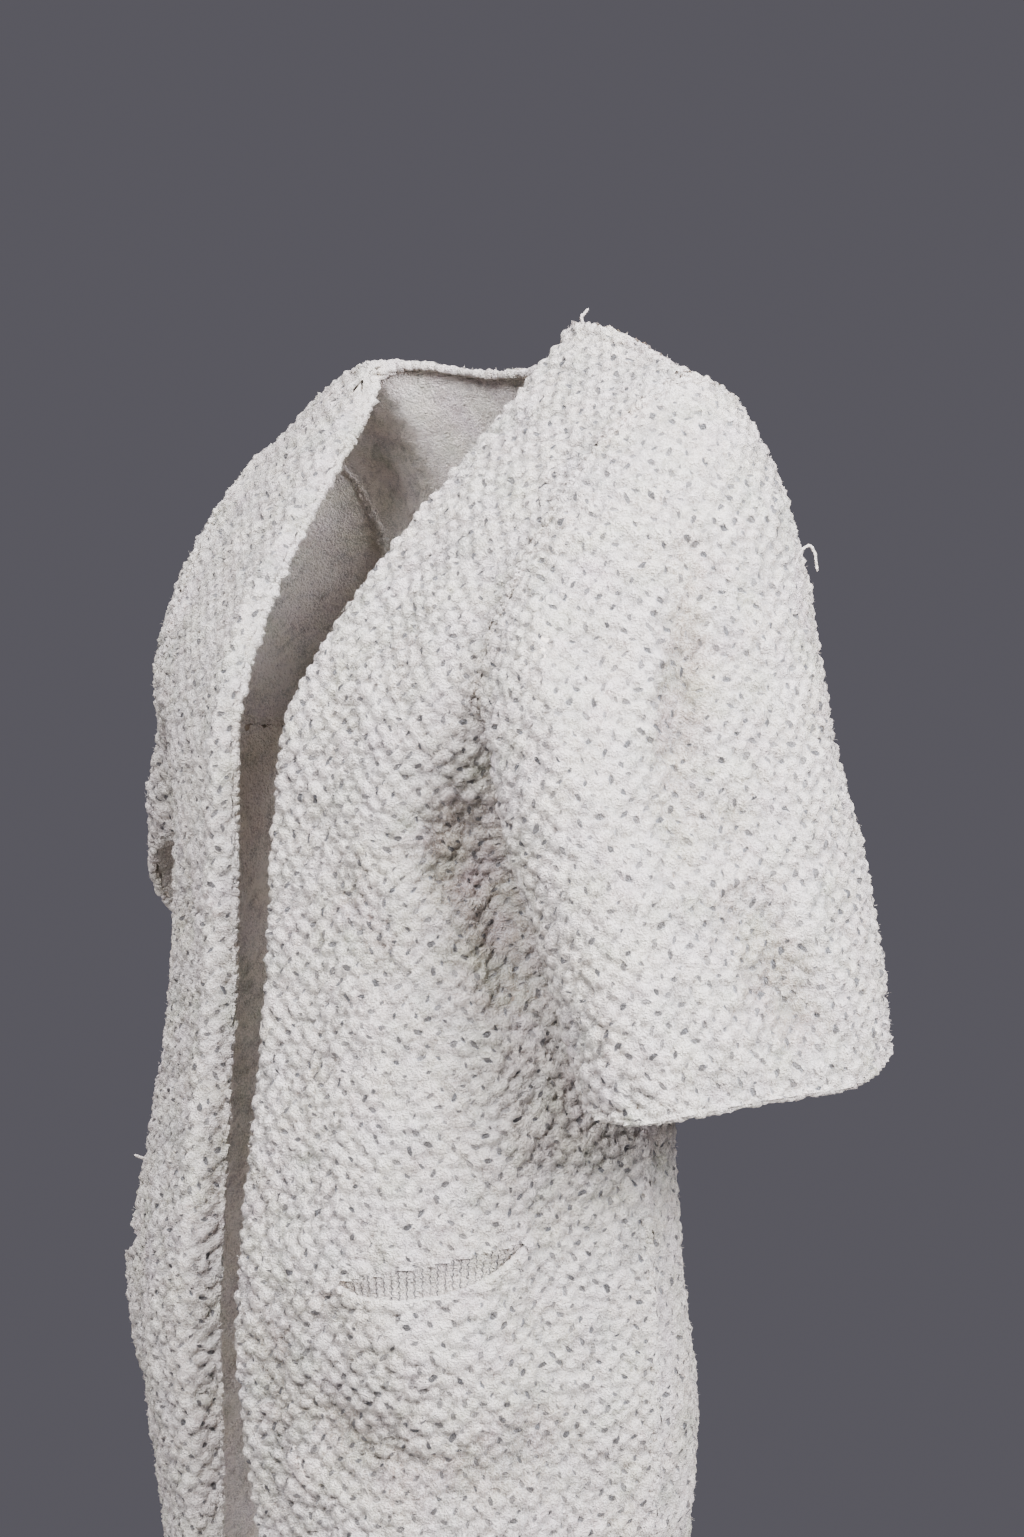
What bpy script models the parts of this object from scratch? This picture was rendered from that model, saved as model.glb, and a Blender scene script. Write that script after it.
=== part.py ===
"""Open-front cardigan in a bulky knit, worn and hollow, with wide elbow-length sleeves and inset pockets.

Metres, +Z up. The wearer would face -Y, with the left arm at +X. The origin lies midway between the two
shoulder points of the neck, where the wearer's shoulders carry the garment. A drop is a depth below it.
"""
import math
from collections import namedtuple

import bmesh
import bpy
import numpy as np

# Driving dimensions
LENGTH = 0.82
UNDERARM_DROP = 0.245
NECK_HALF = 0.105
BACK_NECK_DEPTH = 0.062
BACK_NECK_DROP = 0.018
WALL = 0.005
LINING_WALL = 0.003
LINING_GAP = 0.0006
SEAM_GAP = 0.0003
EDGE_RADIUS = 0.008
UNDERARM_SAG = 0.060
BACK_SQUARENESS = 2.2
SLEEVE_SQUARENESS = 2.3
SHOULDER_SQUARENESS = 1.4
SHOULDER_CURVE = 1.5
SHARP_DEGREES = 50.0

# Pocket mouth: a slit along one row of the front, drooping in the middle
MOUTH_DROP = 0.560
MOUTH_TILT = 0.013
MOUTH_TILT_REACH = 0.14
MOUTH_ROUNDNESS = 0.7
MOUTH_COLUMNS = (5, 12)
POCKET_ROWS = 4
POUCH_ROWS = 3
LIP_OUT_EASE = 0.7
LIP_DROP_EASE = 2.0
POUCH_EASE = 1.5

# Grid counts
HEM_TO_MOUTH_ROWS = 8
MOUTH_TO_UNDERARM_ROWS = 9
ARMHOLE_ROWS = 11
FRONT_COLUMNS = 16
SHOULDER_COLUMNS = 8
HALF_NECK_COLUMNS = 4
ROLL_STEPS = 3
SLEEVE_RINGS = 12
RELAX_ROUNDS = 6
RELAX_REACH = 3
RELAX_START = 0.06
RELAX_RAMP = 0.25
NECK_EASE_COLUMNS = 2
FOLD_FADE_IN = 1 / 6

MOUTH_ROW = HEM_TO_MOUTH_ROWS
UNDERARM_ROW = HEM_TO_MOUTH_ROWS + MOUTH_TO_UNDERARM_ROWS
TOP_ROW = UNDERARM_ROW + ARMHOLE_ROWS
QUARTER_TURN = math.pi / 2

# Horizontal sections of the body, from the underarm to the hem
BodySection = namedtuple("BodySection", "drop half_width front back opening front_squareness")
BODY = (
    BodySection(UNDERARM_DROP, 0.1725, 0.168, 0.095, 0.035, 3.0),
    BodySection(0.320, 0.1720, 0.172, 0.086, 0.030, 3.0),
    BodySection(0.420, 0.1760, 0.177, 0.080, 0.030, 3.0),
    BodySection(0.500, 0.1790, 0.188, 0.078, 0.030, 2.9),
    BodySection(0.590, 0.1850, 0.198, 0.082, 0.030, 2.8),
    BodySection(0.660, 0.1900, 0.195, 0.094, 0.031, 2.6),
    BodySection(0.740, 0.1860, 0.188, 0.088, 0.040, 2.3),
    BodySection(LENGTH, 0.1820, 0.184, 0.084, 0.046, 2.2),
)

# The V edge above the underarm, and how far the rolled edge turns inward all the way down
NeckEdge = namedtuple("NeckEdge", "drop x y")
NECK_EDGE = (
    NeckEdge(0.000, NECK_HALF, 0.000),
    NeckEdge(0.070, 0.085, -0.055),
    NeckEdge(0.130, 0.068, -0.102),
    NeckEdge(0.190, 0.050, -0.142),
    NeckEdge(UNDERARM_DROP, 0.035, -0.167),
)
EdgeRoll = namedtuple("EdgeRoll", "drop inward")
EDGE_ROLL = (
    EdgeRoll(0.000, 0.003),
    EdgeRoll(0.240, 0.005),
    EdgeRoll(0.450, 0.011),
    EdgeRoll(0.590, 0.018),
    EdgeRoll(LENGTH, 0.011),
)
BackCentre = namedtuple("BackCentre", "drop y")
BACK_CENTRE = (
    BackCentre(BACK_NECK_DROP, BACK_NECK_DEPTH),
    BackCentre(0.060, 0.086),
    BackCentre(0.120, 0.101),
    BackCentre(0.180, 0.102),
    BackCentre(UNDERARM_DROP, 0.095),
)

# Sleeve rings from armhole to hem: the outer and inner lines, the depth before and behind them, how far
# the front of the ring sinks towards the underarm, and how far its front and back are raised at the hem
SleeveRing = namedtuple(
    "SleeveRing", "along outer_x outer_z inner_x inner_z front back front_sink front_lift back_lift")
LEFT_SLEEVE = (
    SleeveRing(0.00, 0.213, -0.040, 0.1725, -0.245, 0.125, 0.078, 0.085, 0.000, 0.000),
    SleeveRing(0.14, 0.238, -0.066, 0.1765, -0.265, 0.128, 0.078, 0.066, 0.000, 0.000),
    SleeveRing(0.28, 0.262, -0.115, 0.1800, -0.290, 0.133, 0.078, 0.044, 0.000, 0.000),
    SleeveRing(0.42, 0.281, -0.180, 0.1830, -0.320, 0.138, 0.080, 0.022, 0.000, 0.000),
    SleeveRing(0.57, 0.298, -0.255, 0.1880, -0.355, 0.136, 0.085, 0.008, 0.000, 0.000),
    SleeveRing(0.73, 0.316, -0.340, 0.1970, -0.383, 0.129, 0.090, 0.000, -0.002, 0.006),
    SleeveRing(0.88, 0.330, -0.406, 0.2080, -0.412, 0.120, 0.091, 0.000, -0.010, 0.010),
    SleeveRing(1.00, 0.335, -0.454, 0.2150, -0.440, 0.110, 0.088, 0.000, -0.020, 0.022),
)
RIGHT_SLEEVE = (
    SleeveRing(0.00, 0.213, -0.040, 0.1725, -0.245, 0.125, 0.078, 0.085, 0.000, 0.000),
    SleeveRing(0.14, 0.232, -0.066, 0.1765, -0.262, 0.123, 0.086, 0.066, 0.000, 0.000),
    SleeveRing(0.28, 0.251, -0.115, 0.1800, -0.279, 0.115, 0.098, 0.044, 0.000, 0.000),
    SleeveRing(0.42, 0.270, -0.173, 0.1830, -0.296, 0.101, 0.110, 0.022, 0.000, 0.000),
    SleeveRing(0.57, 0.290, -0.235, 0.1880, -0.312, 0.089, 0.118, 0.008, 0.008, 0.000),
    SleeveRing(0.73, 0.306, -0.297, 0.1970, -0.326, 0.081, 0.124, 0.000, 0.018, -0.010),
    SleeveRing(0.88, 0.318, -0.345, 0.2060, -0.339, 0.075, 0.128, 0.000, 0.031, -0.028),
    SleeveRing(1.00, 0.325, -0.385, 0.2120, -0.352, 0.070, 0.130, 0.000, 0.046, -0.048),
)

# Large soft folds of a sleeve: degrees round the ring from the front towards the top, and metres of depth
SleeveFold = namedtuple("SleeveFold", "degrees along half_degrees half_along depth")
LEFT_SLEEVE_FOLDS = (
    SleeveFold(48.0, 0.42, 20.0, 0.42, -0.010),
    SleeveFold(22.0, 0.50, 18.0, 0.45, 0.006),
    SleeveFold(70.0, 0.85, 24.0, 0.40, -0.006),
)
RIGHT_SLEEVE_FOLDS = (
    SleeveFold(40.0, 0.55, 24.0, 0.40, -0.008),
    SleeveFold(140.0, 0.60, 22.0, 0.40, -0.009),
    SleeveFold(10.0, 0.70, 24.0, 0.30, 0.006),
)

# Large soft folds of the panels: across from side seam to edge or centre (0 to 1), metres of drop and depth
PanelFold = namedtuple("PanelFold", "across drop half_across half_drop depth")
FRONT_FOLDS = (
    PanelFold(0.86, 0.42, 0.16, 0.22, -0.006),
    PanelFold(0.20, 0.72, 0.18, 0.16, -0.007),
    PanelFold(0.62, 0.76, 0.14, 0.12, 0.005),
)
BACK_FOLDS = (
    PanelFold(0.34, 0.68, 0.18, 0.24, 0.005),
    PanelFold(0.60, 0.66, 0.16, 0.26, -0.007),
    PanelFold(0.86, 0.60, 0.14, 0.28, 0.005),
)

# How each pocket hangs: lip standing off, cloth above pouching over it, droop of the lip, and how far the
# top of the lining comes forward: flush with the cloth above on the left, behind the pouch on the right
Pocket = namedtuple("Pocket", "lip_out pouch_out droop lining_out")
LEFT_POCKET = Pocket(0.016, 0.000, 0.020, WALL + LINING_GAP)
RIGHT_POCKET = Pocket(0.013, 0.008, 0.027, 0.008)

# Finish: colour (linear), roughness
CREAM = (0.66, 0.62, 0.57, 1.0)
LINING_CREAM = (0.60, 0.56, 0.51, 1.0)
KNIT_ROUGHNESS = 0.95


def read(table, column, at):
    """Smooth curve through one named column of a table, at a value of its first column."""
    places = np.array([row[0] for row in table])
    values = np.array([getattr(row, column) for row in table])
    slopes = np.gradient(values, places)
    low = int(np.clip(np.searchsorted(places, at) - 1, 0, len(places) - 2))
    span = places[low + 1] - places[low]
    t = (at - places[low]) / span
    start = (1 + 2 * t) * (1 - t) ** 2 * values[low] + t * (1 - t) ** 2 * span * slopes[low]
    return start + t * t * (3 - 2 * t) * values[low + 1] + t * t * (t - 1) * span * slopes[low + 1]


def unit(vectors):
    """Vectors scaled to length one."""
    return vectors / np.linalg.norm(vectors, axis=-1, keepdims=True)


def bump(offset):
    """Soft hill: one at zero, nothing past one either way."""
    return np.cos(np.clip(offset, -1, 1) * QUARTER_TURN) ** 2


def oval(angle, wide, deep, squareness):
    """Point of a rounded oval at an angle from its wide axis."""
    reach = (abs(math.cos(angle) / wide) ** squareness + abs(math.sin(angle) / deep) ** squareness)
    reach = reach ** (-1 / squareness)
    return reach * math.cos(angle), reach * math.sin(angle)


def row_drops():
    """Drops of the rows from the hem to the underarm, with one row on the pocket mouth."""
    below = np.linspace(LENGTH, MOUTH_DROP, HEM_TO_MOUTH_ROWS + 1)
    above = np.linspace(MOUTH_DROP, UNDERARM_DROP, MOUTH_TO_UNDERARM_ROWS + 1)
    return np.concatenate([below, above[1:]])


def sag(drop, across):
    """How far a row dips between side and edge, so that the rows fan out under the armhole."""
    nearness = np.clip(1 - (drop - UNDERARM_DROP) / (MOUTH_DROP - UNDERARM_DROP), 0, 1)
    return UNDERARM_SAG * nearness * 4 * across * (1 - across)


def mouth_tilt(drop, across):
    """Height added near the pocket mouth, whose outer end is the higher one."""
    first, last = (column / FRONT_COLUMNS for column in MOUTH_COLUMNS)
    middle, half = (first + last) / 2, (last - first) / 2
    fade = bump((drop - MOUTH_DROP) / MOUTH_TILT_REACH)
    return MOUTH_TILT * fade * np.clip((middle - across) / half, -1, 1)


def front_row(drop):
    """One row of the left front below the underarm, from the side seam to the start of the rolled edge."""
    wide, deep = read(BODY, "half_width", drop), read(BODY, "front", drop)
    edge_x = read(BODY, "opening", drop) + EDGE_RADIUS
    squareness = read(BODY, "front_squareness", drop)
    edge_y = deep * (1 - (edge_x / wide) ** squareness) ** (1 / squareness)
    end = math.atan2(edge_y, edge_x)
    row = []
    for column in range(FRONT_COLUMNS + 1):
        across = column / FRONT_COLUMNS
        x, y = oval(end * across, wide, deep, squareness)
        row.append((x, -y, mouth_tilt(drop, across) - drop - sag(drop, across)))
    return np.array(row)


def back_row(drop):
    """One row of the left half of the back below the underarm, from the side seam to the centre."""
    wide, deep = read(BODY, "half_width", drop), read(BODY, "back", drop)
    columns = SHOULDER_COLUMNS + HALF_NECK_COLUMNS
    row = []
    for column in range(columns + 1):
        across = column / columns
        x, y = oval(QUARTER_TURN * across, wide, deep, BACK_SQUARENESS)
        row.append((x, y, -drop - sag(drop, across / 2)))
    return np.array(row)


def sleeve_ring(table, along, angle):
    """Point of a sleeve ring: angle zero is the front, a quarter turn on is the top."""
    sharp = SHOULDER_SQUARENESS + (SLEEVE_SQUARENESS - SHOULDER_SQUARENESS) * along
    before, above = math.cos(angle) > 0, math.sin(angle) > 0
    forward, up = oval(angle, 1, 1, sharp if before and above else SLEEVE_SQUARENESS)
    outer = np.array([read(table, "outer_x", along), 0, read(table, "outer_z", along)])
    inner = np.array([read(table, "inner_x", along), 0, read(table, "inner_z", along)])
    side = "front" if before else "back"
    if before:
        sink = 2 * read(table, "front_sink", along) / np.linalg.norm(outer - inner)
        up = up * (1 + sink if above else 1 - sink) - sink
    point = (outer + inner) / 2 + (outer - inner) / 2 * up
    point[1] = -read(table, side, along) * forward
    point[2] += read(table, side + "_lift", along) * forward ** 2
    return point


def armhole_angles(back):
    """Angles of the armhole from the underarm to the shoulder, by the front or by the back."""
    turn = np.linspace(0, math.pi, ARMHOLE_ROWS + 1)
    return 3 * QUARTER_TURN - turn if back else turn - QUARTER_TURN


def armhole(back):
    """The armhole seam from the underarm to the shoulder, by the front or by the back."""
    return np.array([sleeve_ring(LEFT_SLEEVE, 0, angle) for angle in armhole_angles(back)])


def armhole_axis():
    """Direction square to the armhole's plane, out along the arm."""
    first = LEFT_SLEEVE[0]
    return unit(np.array([first.outer_z - first.inner_z, 0, first.inner_x - first.outer_x]))


def armhole_normals(angles):
    """Outward directions round the armhole, upright and square to its outline."""
    step = 0.02
    ahead = np.array([sleeve_ring(LEFT_SLEEVE, 0, angle + step) for angle in angles])
    behind = np.array([sleeve_ring(LEFT_SLEEVE, 0, angle - step) for angle in angles])
    normals = unit(np.cross((1, 0, 0), ahead - behind))
    seams = np.abs(np.cos(angles)) < step
    normals[seams] = np.outer(np.sign(np.sin(angles[seams])), (0, 0, 1))
    return normals


def shoulder_line(steps):
    """The shoulder seam from the armhole to the start of the neck's rolled edge."""
    first = LEFT_SLEEVE[0]
    neck_x = NECK_HALF + EDGE_RADIUS
    line = []
    for step in range(steps + 1):
        away = 1 - step / steps
        line.append((neck_x + (first.outer_x - neck_x) * away, 0, first.outer_z * away ** SHOULDER_CURVE))
    return np.array(line)


def patch(side, edge, bottom, top):
    """Surface spread between four border lines."""
    up = np.linspace(0, 1, len(side))[:, None, None]
    across = np.linspace(0, 1, len(bottom))[None, :, None]
    between_sides = (1 - across) * side[:, None] + across * edge[:, None]
    between_ends = (1 - up) * bottom[None] + up * top[None]
    low = (1 - across) * bottom[0] + across * bottom[-1]
    high = (1 - across) * top[0] + across * top[-1]
    return between_sides + between_ends - (1 - up) * low - up * high


def relax(grid, across):
    """Ease the rows from underarm to shoulder towards their neighbours, less so beside the armholes."""
    rows = slice(UNDERARM_ROW - RELAX_REACH, TOP_ROW)
    above = slice(rows.start + 1, rows.stop + 1)
    below = slice(rows.start - 1, rows.stop - 1)
    share = np.clip((across[1:-1] - RELAX_START) / RELAX_RAMP, 0, 1)[None, :, None] / 2
    for _ in range(RELAX_ROUNDS):
        around = grid[above, 1:-1] + grid[below, 1:-1] + grid[rows, 2:] + grid[rows, :-2]
        grid[rows, 1:-1] += share * (around / 4 - grid[rows, 1:-1])
    return grid


def front_grid():
    """Outer points of the left front, hem to shoulder, side to the start of the rolled edge."""
    lower = np.array([front_row(drop) for drop in row_drops()])
    side = armhole(back=False)
    edge = []
    for up in np.linspace(0, 1, ARMHOLE_ROWS + 1):
        drop = UNDERARM_DROP * (1 - up)
        edge.append((read(NECK_EDGE, "x", drop) + EDGE_RADIUS, read(NECK_EDGE, "y", drop), -drop))
    edge[0] = lower[-1, -1]
    upper = patch(side, np.array(edge), lower[-1], shoulder_line(FRONT_COLUMNS))
    return relax(np.concatenate([lower, upper[1:]]), np.linspace(0, 1, FRONT_COLUMNS + 1))


def back_grid():
    """Outer points of the whole back, hem to shoulders and neck, left side to right side."""
    lower = np.array([back_row(drop) for drop in row_drops()])
    neck = []
    for turn in np.linspace(0, QUARTER_TURN, HALF_NECK_COLUMNS + 1):
        round_x = (NECK_HALF + EDGE_RADIUS) * math.cos(turn)
        neck.append((round_x, BACK_NECK_DEPTH * math.sin(turn), -BACK_NECK_DROP * math.sin(turn) ** 2))
    top = np.concatenate([shoulder_line(SHOULDER_COLUMNS), neck[1:]])
    centre = []
    for up in np.linspace(0, 1, ARMHOLE_ROWS + 1):
        drop = UNDERARM_DROP + (BACK_NECK_DROP - UNDERARM_DROP) * up
        centre.append((0, read(BACK_CENTRE, "y", drop), -drop))
    centre[0] = lower[-1, -1]
    upper = patch(armhole(back=True), np.array(centre), lower[-1], top)
    half = np.concatenate([lower, upper[1:]])
    whole = np.concatenate([half, mirrored(half[:, -2::-1])], axis=1)
    return relax(whole, side_to_centre(whole))


def side_to_centre(whole):
    """How far each column of the back lies from its side seam, with one at the centre."""
    return 1 - np.abs(np.linspace(-1, 1, whole.shape[1]))


def sleeve_grid(table):
    """Outer points of a left sleeve, armhole to hem, from the underarm seam by the front and back to it."""
    angles = np.concatenate([armhole_angles(back=False), armhole_angles(back=True)[-2::-1]])
    rings = np.linspace(0, 1, SLEEVE_RINGS + 1)
    return np.array([[sleeve_ring(table, along, angle) for angle in angles] for along in rings])


def mirrored(points):
    """The same points on the wearer's other side."""
    return points * np.array([-1.0, 1.0, 1.0])


def cell_normals(grid, turn):
    """Area-weighted normal of every cell of a grid."""
    return turn * np.cross(grid[1:, 1:] - grid[:-1, :-1], grid[:-1, 1:] - grid[1:, :-1])


def point_normals(grid, turn):
    """Outward normal at every point of a grid."""
    cells = cell_normals(grid, turn)
    total = np.zeros_like(grid)
    for rows in (slice(0, -1), slice(1, None)):
        for columns in (slice(0, -1), slice(1, None)):
            total[rows, columns] += cells
    return unit(total)


def fold_panel(grid, normals, folds, across):
    """Raise or sink soft folds in a panel's points below the armholes."""
    drops = -grid[:, :, 2]
    depth = np.zeros(drops.shape)
    for fold in folds:
        shape = bump((across[None, :] - fold.across) / fold.half_across)
        depth += fold.depth * shape * bump((drops - fold.drop) / fold.half_drop)
    return grid + normals * depth[:, :, None]


def fold_sleeve(grid, normals, folds):
    """Raise or sink soft folds in a sleeve's points, away from its seams."""
    degrees = np.linspace(-90, 270, grid.shape[1])
    along = np.linspace(0, 1, grid.shape[0])
    for fold in folds:
        shape = bump((degrees - fold.degrees) / fold.half_degrees)[None, :]
        run = (bump((along - fold.along) / fold.half_along) * np.minimum(1, along / FOLD_FADE_IN))[:, None]
        grid = grid + normals * (fold.depth * shape * run)[:, :, None]
    return grid


def skin_of(grid, normals, thickness):
    """Outer and inner point of a wall for every (row, column) of a grid."""
    skin = {}
    for row in range(grid.shape[0]):
        for column in range(grid.shape[1]):
            outer = grid[row, column]
            skin[row, column] = [outer, outer - thickness * normals[row, column]]
    return skin


def cells_of(rows, columns, turn):
    """Four corners of every cell of a grid, turned to face outwards."""
    cells = []
    for row in rows:
        for column in columns:
            cell = [(row, column), (row + 1, column), (row + 1, column + 1), (row, column + 1)]
            cells.append(cell if turn > 0 else cell[::-1])
    return cells


def shift(skin, keys, offset):
    """Move outer and inner points together."""
    for key in keys:
        skin[key] = [point + offset for point in skin[key]]


def roll_points(end, toward, normal, inward):
    """Outer and inner points of an edge that rolls inward from its last flat point."""
    centre = end - normal * EDGE_RADIUS
    pairs = []
    for step in range(1, ROLL_STEPS + 1):
        turn = QUARTER_TURN * step / ROLL_STEPS
        direction = normal * math.cos(turn) + toward * math.sin(turn)
        pairs.append([centre + direction * EDGE_RADIUS, centre + direction * (EDGE_RADIUS - WALL)])
    pairs.append([point - normal * inward for point in pairs[-1]])
    return pairs


def across_mouth(column):
    """How far the mouth has opened at a column: nothing at its ends, one in the middle."""
    first, last = MOUTH_COLUMNS
    return max(0.0, math.sin(math.pi * np.clip((column - first) / (last - first), 0, 1))) ** MOUTH_ROUNDNESS


def open_pocket(skin, normals, pocket):
    """Part the lip from the cloth above it and let the pocket front hang forward."""
    first, last = MOUTH_COLUMNS
    for column in range(first + 1, last):
        skin["lip", column] = list(skin[MOUTH_ROW, column])
    hang = {("lip", 0): 1.0}
    for step in range(1, POCKET_ROWS):
        hang[MOUTH_ROW - step, 0] = 1 - step / POCKET_ROWS
    for (row, _), share in hang.items():
        for column in range(first + 1, last):
            level = MOUTH_ROW if row == "lip" else row
            out = pocket.lip_out * share ** LIP_OUT_EASE * across_mouth(column)
            down = pocket.droop * share ** LIP_DROP_EASE * across_mouth(column)
            shift(skin, [(row, column)], normals[level, column] * out - np.array([0, 0, down]))
    for step in range(POUCH_ROWS):
        for column in range(first + 1, last):
            out = pocket.pouch_out * (1 - step / POUCH_ROWS) ** POUCH_EASE * across_mouth(column)
            shift(skin, [(MOUTH_ROW + step, column)], normals[MOUTH_ROW + step, column] * out)


def lining_skin(grid, normals, pocket):
    """Pocket lining made from the front's own points, moved inside and brought forward at the mouth."""
    first, last = MOUTH_COLUMNS
    skin = {}
    for row in range(MOUTH_ROW - POCKET_ROWS, MOUTH_ROW + 1):
        for column in range(first, last + 1):
            deep = WALL + LINING_GAP
            outer = grid[row, column]
            if row == MOUTH_ROW:
                deep -= pocket.lining_out * across_mouth(column)
                outer = outer - np.array([0, 0, 2 * SEAM_GAP])
            outer = outer - normals[row, column] * deep
            skin[row, column] = [outer, outer - normals[row, column] * LINING_WALL]
    return skin


def knit_material(name, colour):
    """Plain matt finish in the colour of the yarn."""
    material = bpy.data.materials.new(name)
    material.use_nodes = True
    shader = material.node_tree.nodes["Principled BSDF"]
    shader.inputs["Base Color"].default_value = colour
    shader.inputs["Roughness"].default_value = KNIT_ROUGHNESS
    shader.inputs["Metallic"].default_value = 0.0
    return material


def close_rim(mesh, outer, inner, start, end):
    """Two faces over a wall's cut edge, split along the shorter diagonal so that facing rims lie alike."""
    first = (outer[end].co - inner[start].co).length
    second = (outer[start].co - inner[end].co).length
    if first < second:
        mesh.faces.new((outer[end], outer[start], inner[start]))
        mesh.faces.new((outer[end], inner[start], inner[end]))
    else:
        mesh.faces.new((outer[end], outer[start], inner[end]))
        mesh.faces.new((outer[start], inner[start], inner[end]))


def build_wall(name, skin, cells, colour):
    """One closed wall: outer cells, inner cells turned round but split alike, and a rim on each edge."""
    mesh = bmesh.new()
    outer = {key: mesh.verts.new(pair[0]) for key, pair in skin.items()}
    inner = {key: mesh.verts.new(pair[1]) for key, pair in skin.items()}
    sides = {}
    for cell in cells:
        mesh.faces.new([outer[key] for key in cell])
        mesh.faces.new([inner[key] for key in cell[:1] + cell[:0:-1]])
        for start, end in zip(cell, cell[1:] + cell[:1]):
            sides[start, end] = True
    for start, end in sides:
        if (end, start) not in sides:
            close_rim(mesh, outer, inner, start, end)
    data = bpy.data.meshes.new(name)
    mesh.to_mesh(data)
    mesh.free()
    data.shade_smooth()
    data.set_sharp_from_angle(angle=math.radians(SHARP_DEGREES))
    data.materials.append(knit_material(name, colour))
    wall = bpy.data.objects.new(name, data)
    bpy.context.collection.objects.link(wall)
    return wall


def mirror_skin(skin, side):
    """Skin for the wearer's left (side 1) or, mirrored, for the right (side -1)."""
    if side > 0:
        return skin
    return {key: [mirrored(point) for point in pair] for key, pair in skin.items()}


def make_front(name, lining_name, side, grid, normals, pocket):
    """One front with its rolled edge and pocket slit, and the lining behind the slit."""
    skin = skin_of(grid, normals, WALL)
    open_pocket(skin, normals, pocket)
    last = FRONT_COLUMNS
    for row in range(TOP_ROW + 1):
        normal = normals[row, last]
        toward = grid[row, last] - grid[row, last - 1]
        toward = unit(toward - normal * np.dot(toward, normal))
        inward = read(EDGE_ROLL, "inward", -grid[row, last, 2])
        for step, pair in enumerate(roll_points(grid[row, last], toward, normal, inward)):
            skin[row, last + 1 + step] = pair
    columns = last + ROLL_STEPS + 1
    half_gap = np.array([0, SEAM_GAP / 2, 0])
    shift(skin, [(row, 0) for row in range(UNDERARM_ROW + 1)], -half_gap)
    shift(skin, [(row, 0) for row in range(UNDERARM_ROW, TOP_ROW + 1)], -armhole_axis() * SEAM_GAP / 2)
    shift(skin, [(TOP_ROW, column) for column in range(columns + 1)], -half_gap)

    cells = cells_of(range(TOP_ROW), range(columns), side)
    for index, cell in enumerate(cells):
        if min(row for row, _ in cell) == MOUTH_ROW - 1:
            lips = [("lip", column) if row == MOUTH_ROW else (row, column) for row, column in cell]
            cells[index] = [lip if lip in skin else key for lip, key in zip(lips, cell)]
    build_wall(name, mirror_skin(skin, side), cells, CREAM)

    lining = lining_skin(grid, normals, pocket)
    first, final = MOUTH_COLUMNS
    lining_cells = cells_of(range(MOUTH_ROW - POCKET_ROWS, MOUTH_ROW), range(first, final), side)
    build_wall(lining_name, mirror_skin(lining, side), lining_cells, LINING_CREAM)


def make_back(grid, normals, neck_toward):
    """The back, with the neck edge rolled inward."""
    skin = skin_of(grid, normals, WALL)
    last = 2 * (SHOULDER_COLUMNS + HALF_NECK_COLUMNS)
    neck = range(SHOULDER_COLUMNS, last - SHOULDER_COLUMNS + 1)
    inward = read(EDGE_ROLL, "inward", 0.0)
    for column in neck:
        normal = normals[TOP_ROW, column]
        square = unit(np.cross(normal, grid[TOP_ROW, column + 1] - grid[TOP_ROW, column - 1]))
        square = square * np.sign(np.dot(square, grid[TOP_ROW, column] - grid[TOP_ROW - 1, column]))
        left = max(0, 1 - (column - neck[0]) / NECK_EASE_COLUMNS)
        right = max(0, 1 - (neck[-1] - column) / NECK_EASE_COLUMNS)
        toward = square * (1 - left - right) + neck_toward * left + mirrored(neck_toward) * right
        toward = unit(toward - normal * np.dot(toward, normal))
        for step, pair in enumerate(roll_points(grid[TOP_ROW, column], toward, normal, inward)):
            skin[TOP_ROW + 1 + step, column] = pair
    rows = TOP_ROW + ROLL_STEPS + 1
    half_gap = np.array([0, SEAM_GAP / 2, 0])
    axis = armhole_axis() * SEAM_GAP / 2
    for column, out in ((0, axis), (last, mirrored(axis))):
        shift(skin, [(row, column) for row in range(UNDERARM_ROW + 1)], half_gap)
        shift(skin, [(row, column) for row in range(UNDERARM_ROW, TOP_ROW + 1)], -out)
    shoulders = [column for column in range(last + 1) if column <= neck[0] or column >= neck[-1]]
    shift(skin, [(TOP_ROW, column) for column in shoulders], half_gap)
    neck_ends = [(row, column) for row in range(TOP_ROW + 1, rows + 1) for column in (neck[0], neck[-1])]
    shift(skin, neck_ends, half_gap)
    cells = cells_of(range(TOP_ROW), range(last), -1)
    cells += cells_of(range(TOP_ROW, rows), range(neck[0], neck[-1]), -1)
    build_wall("back", skin, cells, CREAM)


def make_sleeve(name, side, table, folds):
    """One sleeve, a single piece closed along the underarm."""
    grid = sleeve_grid(table)
    grid = fold_sleeve(grid, point_normals(grid, 1), folds)
    normals = point_normals(grid, 1)
    normals[:, 0] = unit(normals[:, 0] + normals[:, -1])
    normals[:, -1] = normals[:, 0]
    angles = np.concatenate([armhole_angles(back=False), armhole_angles(back=True)[-2::-1]])
    normals[0] = armhole_normals(angles)
    skin = skin_of(grid, normals, WALL)
    last = grid.shape[1] - 1
    half_gap = np.array([0, SEAM_GAP / 2, 0])
    shift(skin, [(0, column) for column in range(last + 1)], armhole_axis() * SEAM_GAP / 2)
    shift(skin, [(row, 0) for row in range(SLEEVE_RINGS + 1)], -half_gap)
    shift(skin, [(row, last) for row in range(SLEEVE_RINGS + 1)], half_gap)
    build_wall(name, mirror_skin(skin, side), cells_of(range(SLEEVE_RINGS), range(last), side), CREAM)


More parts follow.
